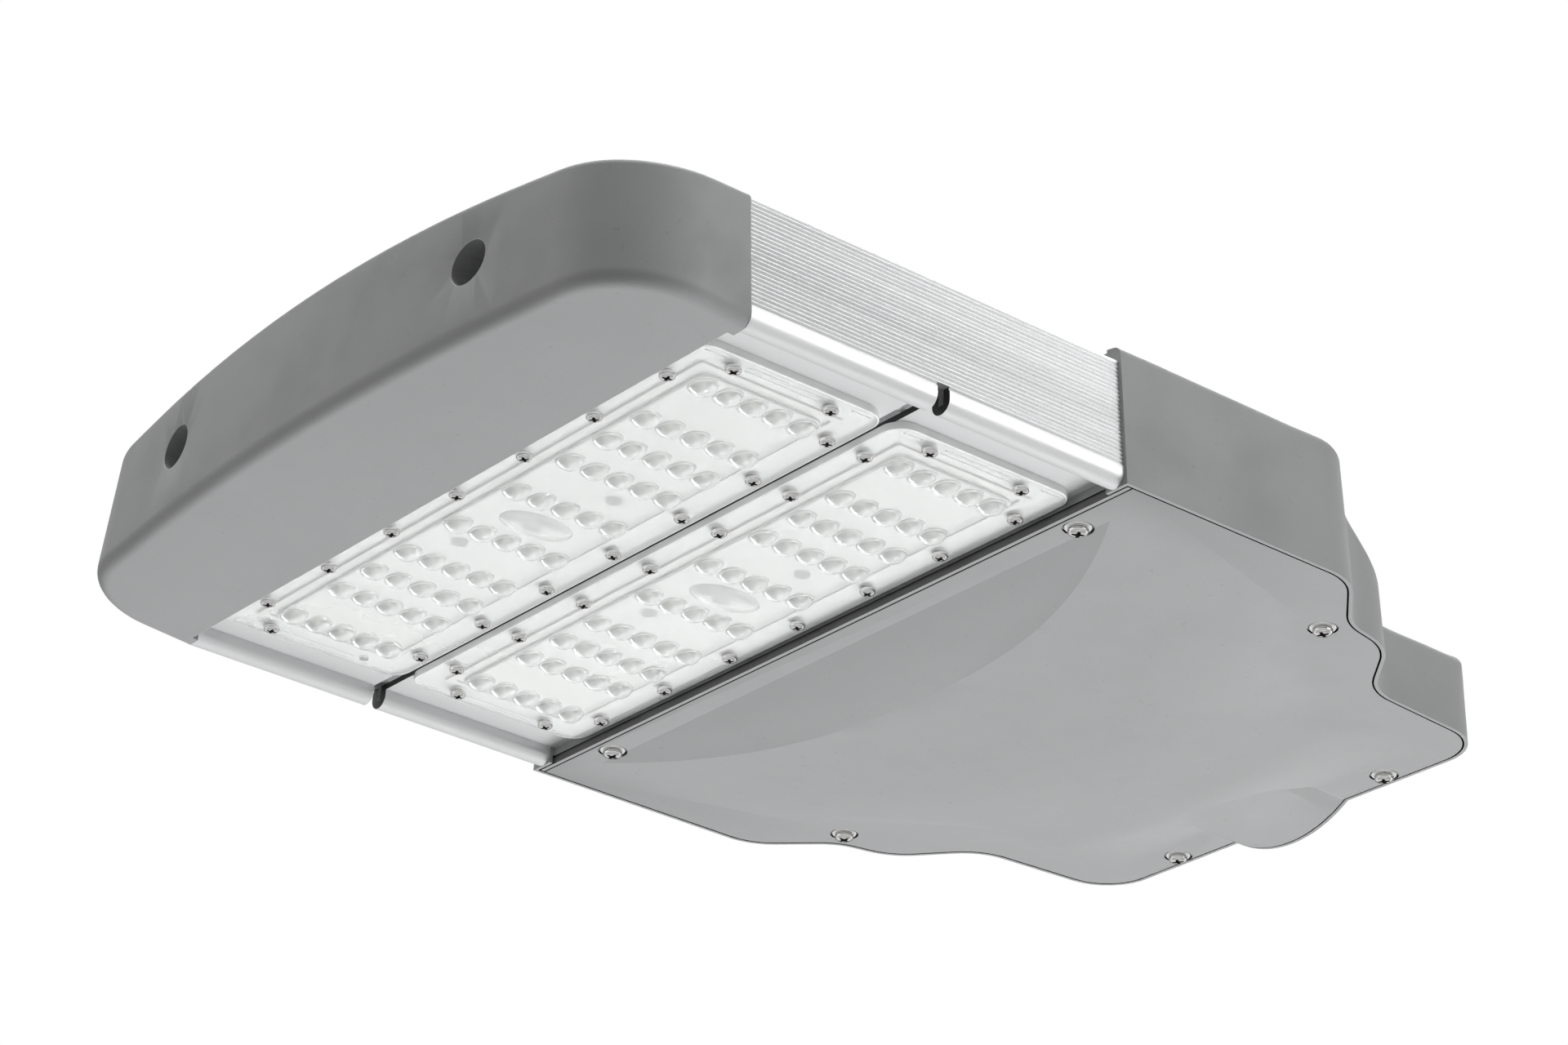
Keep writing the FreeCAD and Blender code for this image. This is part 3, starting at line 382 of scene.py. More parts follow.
def ramp(tree, value, low, high, to_low=0.0, to_high=1.0):
    return ranged(tree, value, low, high, to_low, to_high, "SMOOTHSTEP")


def mixed(tree, fac, first, second):
    node = tree.nodes.new("ShaderNodeMix")
    link(tree, fac, node.inputs[0])
    link(tree, first, node.inputs[2])
    link(tree, second, node.inputs[3])
    return node.outputs[0]


def new_group(name, kind, inputs, output_kind, *outputs):
    """Node group of shader or geometry nodes, with its own input and output sockets."""
    group = bpy.data.node_groups.new(name, kind)
    for label, input_kind, default in inputs:
        socket = group.interface.new_socket(label, in_out="INPUT",
                                            socket_type="NodeSocket" + input_kind)
        if default is not None:
            socket.default_value = default
    for label in outputs:
        group.interface.new_socket(label, in_out="OUTPUT", socket_type="NodeSocket" + output_kind)
    start, end = group.nodes.new("NodeGroupInput"), group.nodes.new("NodeGroupOutput")
    return group, start.outputs, end.inputs


def make_grain_group():
    """Fine grain with rare specks and slow clouds, for coats, plastics and rubber."""
    group, given, result = new_group("Surface grain", "ShaderNodeTree", [
        ("Vector", "Vector", None), ("Grain Scale", "Float", 1400.0),
        ("Cloud Scale", "Float", 14.0), ("Speck Scale", "Float", 420.0),
    ], "Float", "Height", "Clouds", "Specks")
    fine = noise(group, given["Vector"], given["Grain Scale"], 3.0, 0.6)
    clouds = noise(group, given["Vector"], given["Cloud Scale"], 4.0, 0.6)
    specks = noise(group, given["Vector"], given["Speck Scale"], 1.0, 0.4)
    group.links.new(fine, result["Height"])
    group.links.new(clouds, result["Clouds"])
    group.links.new(ramp(group, specks, 0.74, 0.80), result["Specks"])


def make_streak_group():
    """Lines drawn along one direction, for extruded, rolled and brushed metal."""
    group, given, result = new_group("Drawn lines", "ShaderNodeTree", [
        ("Vector", "Vector", None), ("Line Scale", "Float", 900.0)], "Float", "Height", "Tone")
    broad = math_node(group, "MULTIPLY", given["Line Scale"], 0.22)
    group.links.new(noise(group, given["Vector"], given["Line Scale"], 2.0, 0.6),
                    result["Height"])
    group.links.new(noise(group, given["Vector"], broad, 2.0, 0.5), result["Tone"])


def make_handling_group():
    """Smudges and dust where hands and weather leave them."""
    group, given, result = new_group("Handling marks", "ShaderNodeTree", [
        ("Vector", "Vector", None), ("Patch Scale", "Float", 30.0)], "Float", "Smudge")
    patches = noise(group, given["Vector"], given["Patch Scale"], 5.0, 0.62)
    group.links.new(ramp(group, patches, 0.42, 0.68), result["Smudge"])


def place_group(tree, name, vector, values):
    """Outputs of a shared node group that is placed in a material."""
    node = tree.nodes.new("ShaderNodeGroup")
    node.node_tree = bpy.data.node_groups[name]
    for label, value in values.items():
        node.inputs[label].default_value = value
    tree.links.new(vector, node.inputs["Vector"])
    return node.outputs


def new_material(name, metallic, roughness):
    """Material, its node tree, its shader and the piece's own coordinates."""
    material = bpy.data.materials.new(name)
    material.use_nodes = True
    tree = material.node_tree
    bsdf = tree.nodes["Principled BSDF"]
    bsdf.inputs["Metallic"].default_value = metallic
    bsdf.inputs["Roughness"].default_value = roughness
    coordinates = tree.nodes.new("ShaderNodeTexCoord")
    return material, tree, bsdf, coordinates.outputs["Object"]


def shade(colour, factor):
    return tuple(min(c * factor, 1.0) for c in colour)


def varied(tree, bsdf, fac, colour, dark, light):
    """Base colour that moves between a darker and a lighter tone of one colour."""
    mix = tree.nodes.new("ShaderNodeMix")
    mix.data_type = "RGBA"
    mix.inputs[6].default_value = (*shade(colour, dark), 1)
    mix.inputs[7].default_value = (*shade(colour, light), 1)
    tree.links.new(fac, mix.inputs[0])
    tree.links.new(mix.outputs[2], bsdf.inputs["Base Color"])


def varied_roughness(tree, bsdf, fac, low, high):
    tree.links.new(ranged(tree, fac, to_low=low, to_high=high), bsdf.inputs["Roughness"])


def bumped(tree, bsdf, height, strength, distance=0.2 * MM):
    bump = tree.nodes.new("ShaderNodeBump")
    bump.inputs["Strength"].default_value = strength
    bump.inputs["Distance"].default_value = distance
    tree.links.new(height, bump.inputs["Height"])
    tree.links.new(bump.outputs["Normal"], bsdf.inputs["Normal"])


# Materials

def grained_material(name, colour, roughness, metallic, grain, bump, spread, speck=0.35,
                     specular=0.5):
    """Finish with fine grain, slow clouds and smudged gloss."""
    material, tree, bsdf, vector = new_material(name, metallic, roughness)
    bsdf.inputs["Specular IOR Level"].default_value = specular
    surface = place_group(tree, "Surface grain", vector, {"Grain Scale": grain})
    terms = [(surface["Clouds"], 0.5), (surface["Height"], 0.5)]
    if speck:
        terms.append((surface["Specks"], speck))
    varied(tree, bsdf, weighted_sum(tree, *terms), colour, 1 - 2 * spread, 1 + 2 * spread)
    marks = place_group(tree, "Handling marks", vector, {})
    varied_roughness(tree, bsdf, marks["Smudge"], roughness * 0.92, roughness * 1.12)
    bumped(tree, bsdf, surface["Height"], bump)
    return material


def drawn_material(name, colour, roughness, metallic, line_scale, bump, spread, stretch):
    """Metal with lines along the direction of its smallest stretch factor."""
    material, tree, bsdf, vector = new_material(name, metallic, roughness)
    drawn = place_group(tree, "Drawn lines", stretched(tree, vector, stretch),
                        {"Line Scale": line_scale})
    grain = place_group(tree, "Surface grain", vector, {"Grain Scale": 2600.0})
    total = weighted_sum(tree, (drawn["Tone"], 0.5), (drawn["Height"], 0.3), (grain["Height"], 0.2))
    varied(tree, bsdf, total, colour, 1 - 2.4 * spread, 1 + 1.6 * spread)
    varied_roughness(tree, bsdf, drawn["Tone"], roughness * 0.85, roughness * 1.15)
    height = weighted_sum(tree, (drawn["Height"], 0.6), (grain["Height"], 0.7))
    bumped(tree, bsdf, height, bump)
    return material


def extruded_material(colour):
    """Blasted and anodised extrusion: die lines along the head and a fine bright stipple."""
    material, tree, bsdf, vector = new_material("Anodised extrusion", 0.5, 0.5)
    along = stretched(tree, vector, (0.006, 1.0, 1.0))
    lines = ramp(tree, noise(tree, along, 1250.0, 1.0, 0.5), 0.56, 0.66)
    stipple = ramp(tree, noise(tree, vector, 2900.0, 0.0), 0.46, 0.62)
    soft = place_group(tree, "Drawn lines", along, {"Line Scale": 420.0})
    total = weighted_sum(tree, (lines, 0.34), (stipple, 0.36), (soft["Tone"], 0.5))
    varied(tree, bsdf, total, colour, 0.88, 1.26)
    varied_roughness(tree, bsdf, soft["Tone"], 0.42, 0.56)
    bumped(tree, bsdf, weighted_sum(tree, (lines, 0.5), (stipple, 0.5)), 0.10, 0.15 * MM)
    return material


def make_plastic_clear(bsdf, transmission):
    bsdf.inputs["Transmission Weight"].default_value = transmission
    bsdf.inputs["IOR"].default_value = 1.49


def lens_material(colour):
    """Clear moulded plastic that lets most of the light fall on the board."""
    material, tree, bsdf, vector = new_material("Clear lens", 0.0, 0.08)
    make_plastic_clear(bsdf, 0.70)
    rays = tree.nodes.new("ShaderNodeLightPath")
    see_through = ranged(tree, rays.outputs["Is Shadow Ray"], to_low=1.0, to_high=0.15)
    tree.links.new(see_through, bsdf.inputs["Alpha"])
    surface = place_group(tree, "Surface grain", vector,
                          {"Grain Scale": 260.0, "Cloud Scale": 22.0})
    varied(tree, bsdf, surface["Clouds"], colour, 0.97, 1.03)
    marks = place_group(tree, "Handling marks", vector, {"Patch Scale": 40.0})
    varied_roughness(tree, bsdf, marks["Smudge"], 0.05, 0.12)
    bumped(tree, bsdf, surface["Height"], 0.012, 0.3 * MM)
    return material


def lens_edge_highlight_material(colour):
    """Lighter, less clear plastic where an edge gathers the light: a painted highlight."""
    material = grained_material("Lens plate edges", colour, 0.22, 0.0, 900, 0.02, 0.02, speck=0)
    make_plastic_clear(material.node_tree.nodes["Principled BSDF"], 0.15)
    return material


def make_materials():
    """Every finish with its material."""
    colours = scene_settings("light_finish")
    paint, aluminium, lens, steel = (
        tuple(colour) for colour in (colours.paint, colours.aluminium, colours.lens, colours.steel))
    make_grain_group()
    make_streak_group()
    make_handling_group()
    # Name, colour, roughness, metallic, scale of the grain, bump and spread of the tone
    grained = {
        # Lighter, glossier coat on the faces made by the bevel: a painted highlight along the edges
        "casting_edge_highlight": ("Powder coat on the edges", shade(paint, 1.5), 0.4, 0.0, 1500, 0.05, 0.02),
        "smooth_aluminium": ("Smooth underside of the extrusion", aluminium, 0.5, 0.5, 2400, 0.08,
                             0.02),
        "board_white": ("White solder mask", (0.52, 0.52, 0.515), 0.35, 0.0, 900, 0.04, 0.02),
        "led_phosphor": ("Phosphor", (0.72, 0.71, 0.67), 0.35, 0.0, 2600, 0.06, 0.05),
        "seal_rubber": ("Silicone seal", (0.62, 0.62, 0.61), 0.6, 0.0, 1800, 0.12, 0.05),
        # Dark seal: painted shade on the gasket and on the front faces in the gap beside the heat
        # sink
        "painted_shade_seal": ("Seal in the gap", (0.13, 0.13, 0.131), 0.6, 0.0, 1800, 0.12, 0.04),
        "cable_rubber": ("Black rubber", (0.03, 0.03, 0.031), 0.62, 0.0, 1800, 0.2, 0.05),
        # Dark cross recesses of the screws: painted shade
        "recess": ("Screw recess", (0.035, 0.035, 0.036), 0.45, 0.6, 2600, 0.05, 0.05),
        "surge_case": ("Black case", (0.022, 0.022, 0.024), 0.42, 0.0, 1600, 0.25, 0.05),
        "terminal_plastic": ("Terminal plastic", (0.72, 0.72, 0.68), 0.4, 0.0, 1500, 0.06, 0.05),
    }
    # The same for drawn metal, with the scale of its lines and, last, the stretch along x, y, z
    drawn = {
        # Dark aluminium: painted shade on the walls of the cross slot and on the board screws
        "shaded_aluminium": ("Extrusion inside the slot", (0.05, 0.05, 0.052), 0.6, 0.3, 1100, 0.1,
                             0.06, (0.03, 1.0, 1.0)),
        "stainless_screw": ("Bright stainless", steel, 0.17, 1.0, 2400, 0.05, 0.03,
                            (1.0, 1.0, 0.2)),
        "zinc_steel": ("Zinc plated steel", (0.62, 0.63, 0.64), 0.34, 1.0, 700, 0.08, 0.06,
                       (1.0, 0.2, 1.0)),
        "driver_case": ("Satin driver case", (0.66, 0.67, 0.68), 0.38, 1.0, 800, 0.1, 0.06,
                        (1.0, 0.1, 1.0)),
        "earth_brass": ("Brass", (0.70, 0.52, 0.24), 0.25, 1.0, 2000, 0.06, 0.06, (1.0, 1.0, 0.2)),
    }
    coat = (0.64, 0.0, 1700, 0.22, 0.045, -1.2, 0.4)
    made = {finish: grained_material(*values) for finish, values in grained.items()}
    made |= {finish: drawn_material(*values) for finish, values in drawn.items()}
    return made | {
        "painted_casting": grained_material("Powder coat", paint, *coat),
        # Slightly lighter copy of the coat for the cap: painted light
        "cap_casting": grained_material("Powder coat on the cap", shade(paint, 1.02), *coat),
        # Near-black coat: painted shade in the groove, the narrow gaps and the washer seats
        "gap_shade": grained_material("Powder coat in the gaps", (0.012, 0.012, 0.012), 0.8, 0.0,
                                      1500, 0.05, 0.02, specular=0.1),
        "anodised_aluminium": extruded_material(aluminium),
        "clear_lens": lens_material(lens),
        "lens_edge_highlight": lens_edge_highlight_material(shade(lens, 1.12)),
    }


# Geometry Nodes helpers

def node_in(tree, kind, **sockets):
    node = tree.nodes.new(kind)
    for label, value in sockets.items():
        link(tree, value, node.inputs[label.replace("_", " ")])
    return node


def run_tree(name, points, tree, values):
    """Plain mesh piece from a tree run on a cloud of points."""
    mesh = bpy.data.meshes.new(name)
    mesh.from_pydata([tuple(p) for p in points], [], [])
    piece = mesh_object(name, mesh)
    modifier = piece.modifiers.new("Nodes", "NODES")
    modifier.node_group = tree
    for item in tree.interface.items_tree:
        if item.item_type == "SOCKET" and item.in_out == "INPUT" and item.name in values:
            modifier[item.identifier] = values[item.name]
    return settle(piece)


def set_out(tree, given, one, finish, **sockets):
    """One instance on every point, made real and given its finish."""
    spread = node_in(tree, "GeometryNodeInstanceOnPoints", Points=given["Geometry"], Instance=one,
                     **sockets)
    real = node_in(tree, "GeometryNodeRealizeInstances", Geometry=spread.outputs["Instances"])
    return node_in(tree, "GeometryNodeSetMaterial", Geometry=real.outputs[0],
                   Material=finish).outputs[0]


def make_fastener_tree():
    """A head and a shank on every point, each turned by its own angle."""
    tree, given, result = new_group("Fasteners", "GeometryNodeTree", [
        ("Geometry", "Geometry", None),
        ("Head", "Object", None),
        ("Head Radius", "Float", 2.75 * MM),
        ("Head Height", "Float", 2.4 * MM),
        ("Shank Radius", "Float", 1.5 * MM),
        ("Shank Length", "Float", 4.8 * MM),
        ("Axis", "Vector", (0.0, 0.0, 1.0)),
        ("Seed", "Int", 4),
        ("Metal", "Material", None),
        ("Recess", "Material", None),
    ], "Geometry", "Geometry")
    head = node_in(tree, "GeometryNodeObjectInfo", Object=given["Head"])
    size = node_in(tree, "ShaderNodeCombineXYZ", X=given["Head Radius"], Y=given["Head Radius"],
                   Z=given["Head Height"])
    sized = node_in(tree, "GeometryNodeTransform", Geometry=head.outputs["Geometry"],
                    Scale=size.outputs["Vector"])
    shank = node_in(tree, "GeometryNodeMeshCylinder", Vertices=20, Radius=given["Shank Radius"],
                    Depth=given["Shank Length"])
    lift = node_in(tree, "ShaderNodeCombineXYZ",
                   Z=math_node(tree, "MULTIPLY", given["Shank Length"], 0.5))
    seated = node_in(tree, "GeometryNodeTransform", Geometry=shank.outputs["Mesh"],
                     Translation=lift.outputs["Vector"])
    join = tree.nodes.new("GeometryNodeJoinGeometry")
    tree.links.new(sized.outputs["Geometry"], join.inputs[0])
    tree.links.new(seated.outputs["Geometry"], join.inputs[0])
    turn = tree.nodes.new("FunctionNodeRandomValue")
    turn.inputs[3].default_value = 2 * math.pi
    tree.links.new(given["Seed"], turn.inputs["Seed"])
    aim = node_in(tree, "FunctionNodeAlignRotationToVector", Vector=given["Axis"])
    aim.axis = "Z"
    spin = node_in(tree, "FunctionNodeAxisAngleToRotation", Angle=turn.outputs[1])
    rotate = node_in(tree, "FunctionNodeRotateRotation", Rotation=aim.outputs[0],
                     Rotate_By=spin.outputs[0])
    rotate.rotation_space = "LOCAL"
    metal = set_out(tree, given, join.outputs[0], given["Metal"], Rotation=rotate.outputs[0])
    # Faces of the cross recess take the dark recess finish, a painted shade
    mark = tree.nodes.new("GeometryNodeInputNamedAttribute")
    mark.data_type = "BOOLEAN"
    mark.inputs["Name"].default_value = "recess"
    dark = node_in(tree, "GeometryNodeSetMaterial", Geometry=metal,
                   Selection=mark.outputs["Attribute"], Material=given["Recess"])
    tree.links.new(dark.outputs[0], result[0])
    return tree


def make_setting_tree():
    """One piece of unit size on every point, scaled to its real size."""
    tree, given, result = new_group("Set out", "GeometryNodeTree", [
        ("Geometry", "Geometry", None),
        ("Piece", "Object", None),
        ("Width", "Float", 9.2 * MM),
        ("Length", "Float", 12.0 * MM),
        ("Height", "Float", 2.8 * MM),
        ("Finish", "Material", None),
    ], "Geometry", "Geometry")
    one = node_in(tree, "GeometryNodeObjectInfo", Object=given["Piece"])
    size = node_in(tree, "ShaderNodeCombineXYZ", X=given["Width"], Y=given["Length"],
                   Z=given["Height"])
    painted = set_out(tree, given, one.outputs["Geometry"], given["Finish"],
                      Scale=size.outputs["Vector"])
    tree.links.new(painted, result[0])
    return tree


# Places of holes and domes

def lens_screw_points(place, height):
    """Holes of the plate that hold a screw; one in the front module is empty."""
    x = module_x[place]
    end_x, end_y = end_screw
    points = []
    for side in (-1, 1):
        for k in range(-3, 4):
            points.append((x + side * lens_screw_row * MM, k * lens_screw_step * MM, height))
        for end in (-1, 1):
            points.append((x + side * end_x * MM, end * end_y * MM, height))
    if place == "front":
        points.remove((x + end_x * MM, end_y * MM, height))
    return points


def board_screw_points(place, height):
    out_x, out_y = board_screw
    return [(module_x[place] + side * out_x * MM, -side * out_y * MM, height) for side in (1, -1)]


def dome_points(place, height):
    return [(module_x[place] + (column - 2) * dome_step * MM, side * row * MM, height)
            for column in range(5) for row in dome_rows for side in (-1, 1)]


# Operators

class STREETLIGHT_OT_materials(bpy.types.Operator):
    """Materials shared by all pieces"""
    bl_idname = "streetlight.materials"
    bl_label = "Materials"

    def execute(self, context):
        for finish, material in make_materials().items():
            MATERIAL_NAMES[finish] = material.name
        return {"FINISHED"}


class STREETLIGHT_OT_stage(bpy.types.Operator):
    """Camera at the photograph's angle, pale floor and soft studio light"""
    bl_idname = "streetlight.stage"
    bl_label = "Stage"

    # Camera fitted to the photograph: its place and the directions of its axes
    camera_place = (-1.1011, -1.0934, -0.6784)
    camera_right = (0.77552, -0.63007, 0.03973)
    camera_up = (-0.30951, -0.32461, 0.89378)
    camera_back = (-0.55024, -0.70544, -0.44675)
    camera_lens = 102.0
    lamp_target = (-0.22, 0, -0.01)
    floor_half = 30.0
    # Glowing ring of the floor, a painted glow: where it fades in and out, in metres from below the
    # pole socket
    ring_in, ring_out = (5.0, 9.0), (12.0, 15.0)

    def execute(self, context):
        stage = scene_settings("light_stage")
        self.camera(context)
        self.floor(stage.floor_drop)
        self.room(context, stage.room_light)
        # Name, place, size, power and the kind of ray that doesn't see the lamp
        for lamp in (
                ("Low lamp", (2.4, 0.5, -3.2), 2.6, stage.low_lamp_power, "glossy"),
                ("Top lamp", (-0.2, 0.3, 2.6), 2.0, stage.top_lamp_power, None),
                ("Front lamp", (-1.8, 0.7, 0.35), 1.8, stage.front_lamp_power, None),
                ("Side lamp", (0.8, -2.4, 0.7), 1.8, stage.side_lamp_power, None),
                ("Side card", (0.4, -2.2, 1.4), 1.6, 34.0, "diffuse"),
                ("Glint lamp", (2.2, -0.4, -0.9), 0.35, 1.6, "diffuse")):
            self.lamp(context, *lamp)
        return {"FINISHED"}

    def camera(self, context):
        camera = bpy.data.objects.new("Camera", bpy.data.cameras.new("Camera"))
        camera.data.lens = self.camera_lens
        camera.data.sensor_width = 36.0
        camera.data.clip_end = 50
        turn = Matrix((self.camera_right, self.camera_up, self.camera_back)).transposed()
        camera.matrix_world = Matrix.Translation(self.camera_place) @ turn.to_4x4()
        context.scene.collection.objects.link(camera)
        context.scene.camera = camera
        context.scene.view_settings.view_transform = "Standard"
        context.scene.view_settings.look = "None"

    def floor(self, drop):
        mesh = bpy.data.meshes.new("floor")
        mesh.from_pydata([(x * self.floor_half, y * self.floor_half, -drop)
                          for x, y in ((-1, -1), (1, -1), (1, 1), (-1, 1))], [], [(0, 1, 2, 3)])
        floor = mesh_object("floor", mesh)
        floor.data.materials.append(self.floor_paper())

    def floor_paper(self):
        """Pale paper with a painted glow: a bright ring that only shiny pieces see, and an even
        glow for the camera.
        """
        paper = grained_material("Floor paper", (0.86, 0.86, 0.86), 0.9, 0.0, 300.0, 0.02, 0.01,
                                 speck=0)
        tree = paper.node_tree
        bsdf = tree.nodes["Principled BSDF"]
        rays = tree.nodes.new("ShaderNodeLightPath")
        apart = tree.nodes.new("ShaderNodeVectorMath")
        apart.operation = "LENGTH"
        tree.links.new(tree.nodes["Texture Coordinate"].outputs["Object"], apart.inputs[0])
        distance = apart.outputs["Value"]
        ring = math_node(tree, "SUBTRACT", ramp(tree, distance, *self.ring_in),
                         ramp(tree, distance, *self.ring_out))
        shine = math_node(tree, "ADD", math_node(tree, "MULTIPLY", ring, 0.62), 0.18)
        bright = weighted_sum(tree, (rays.outputs["Is Glossy Ray"], shine),
                              (rays.outputs["Is Camera Ray"], 0.55))
        bsdf.inputs["Emission Color"].default_value = (1, 1, 1, 1)
        tree.links.new(bright, bsdf.inputs["Emission Strength"])
        return paper

    def room(self, context, strength):
        """White backdrop for the camera, even light, and a darker horizon for what shines."""
        world = bpy.data.worlds.new("Studio")
        context.scene.world = world
        world.use_nodes = True
        tree = world.node_tree
        rays = tree.nodes.new("ShaderNodeLightPath")
        direction = tree.nodes.new("ShaderNodeTexCoord")
        apart = tree.nodes.new("ShaderNodeSeparateXYZ")
        tree.links.new(direction.outputs["Generated"], apart.inputs[0])
        horizon = ramp(tree, apart.outputs["Z"], 0.05, 0.30, 0.06, 1.0)
        shine = mixed(tree, rays.outputs["Is Glossy Ray"], strength, horizon)
        seen = mixed(tree, rays.outputs["Is Camera Ray"], shine, 1.0)
        background = tree.nodes["Background"]
        tree.links.new(seen, background.inputs["Strength"])
        background.inputs["Color"].default_value = (1, 1, 1, 1)

    def lamp(self, context, name, place, size, power, hidden_from):
        light = bpy.data.lights.new(name, "AREA")
        light.size = size
        light.energy = power
        lamp = bpy.data.objects.new(name, light)
        lamp.location = place
        aim = Vector(self.lamp_target) - Vector(place)
        lamp.rotation_euler = aim.to_track_quat("-Z", "Y").to_euler()
        lamp.visible_camera = False
        lamp.visible_glossy = hidden_from != "glossy"
        lamp.visible_diffuse = hidden_from != "diffuse"
        context.scene.collection.objects.link(lamp)


class STREETLIGHT_OT_castings(bpy.types.Operator):
    """Front cap, driver housing and its cover in fine grey powder coat, with painted highlights on
    the edges and painted shade in the gaps
    """
    bl_idname = "streetlight.castings"
    bl_label = "Castings"

    # Places in a casting's list of finishes: the edge slot holds a painted highlight, the shaded
    # and seal slots hold painted shade
    edge, shaded, seal = 1, 2, 3
    # A face turned outward or inward by less than this stands level with the rim
    level = 1e-4

    def execute(self, context):
        width = scene_settings("light_casting").edge_round
        for node, name, coat in (("front_cap", "cap_casting", "cap_casting"),
                                 ("driver_housing", "housing_casting", "painted_casting"),
                                 ("housing_cover", "cover_casting", "painted_casting")):
            piece = merged_copy(node, name)
            dress(piece, coat, "casting_edge_highlight", "gap_shade", "painted_shade_seal")
            if node == "housing_cover":
                self.front_groove(piece)
            # Faces made by the bevel take the painted edge highlight
            bevel_edges(piece, width, highlight_slot=self.edge, sharp=20)
            # Faces in the front gap and in the narrow gaps take painted shade
            for face in piece.data.polygons:
                if self.at_front_gap(node, face):
                    face.material_index = self.seal
                elif self.in_a_gap(node, face):
                    face.material_index = self.shaded
            finish_piece(piece, node)
        return {"FINISHED"}

    def front_groove(self, piece):
        """Shallow groove along the cover's front edge."""
        half_length, half_width, depth = 170 * MM, 0.6 * MM, 0.15 * MM
        bm = bmesh.new()
        skin_rings(bm, [[(groove_x + dx * half_width, y, rim_z + dz * depth)
                         for dx, dz in ((-1, -1), (0, 1), (1, -1))]
                        for y in (-half_length, half_length)])
        boolean(piece, built("groove", bm), "DIFFERENCE")

    def at_front_gap(self, node, face):
        """Front faces that show only in the gap beside the heat sink, and get painted shade."""
        low, high = (x * MM for x in front_gap_x)
        in_the_open = node == "driver_housing" and face.center.z > rim_z + front_gap_top * MM
        return face.normal.x < -0.9 and low < face.center.x < high and not in_the_open

    def in_a_gap(self, node, face):
        """Walls of the groove, of the narrow gap around the cover and of the washer seats, which
        get painted shade.
        """
        x, y, z = face.center
        depth = z - rim_z
        # The cover's shallowest faces are the walls of its groove and its rounded edges
        if node == "housing_cover" and 0.01 * MM < depth < 0.16 * MM:
            return abs(x - groove_x) < 0.4 * MM
        if node == "front_cap" or not gap_depth[0] * MM < depth < gap_depth[1] * MM:
            return False
        outward = Vector((x - cover_middle_x, y)).dot(face.normal.xy)
        if node == "driver_housing":
            return outward < -self.level or (face.normal.z < -0.9 and depth > MM)
        at_washer = any(math.hypot(x - screw_x, y - screw_y) < washer_seat_radius * MM
                        for screw_x, screw_y in cover_screw_places)
        return abs(face.normal.z) < 0.5 and (outward > self.level or at_washer)


class STREETLIGHT_OT_heat_sink(bpy.types.Operator):
    """Extruded heat sink with drawn lines, a fine stipple and painted shade inside its cross slot
    """
    bl_idname = "streetlight.heat_sink"
    bl_label = "Heat sink"

    slot_half = 3.6 * MM
    underside_height = 9 * MM

    def execute(self, context):
        piece = merged_copy("heat_sink", "sink_extrusion")
        bevel_edges(piece, 0.15 * MM, 40)
        dress(piece, "anodised_aluminium", "shaded_aluminium", "smooth_aluminium")
        for face in piece.data.polygons:
            if abs(face.center.x - slot_x) < self.slot_half and abs(face.normal.x) > 0.7:
                face.material_index = 1      # wall of the cross slot, in painted shade
            elif face.center.z < rim_z + self.underside_height:
                face.material_index = 2
        finish_piece(piece, "heat_sink")
        return {"FINISHED"}


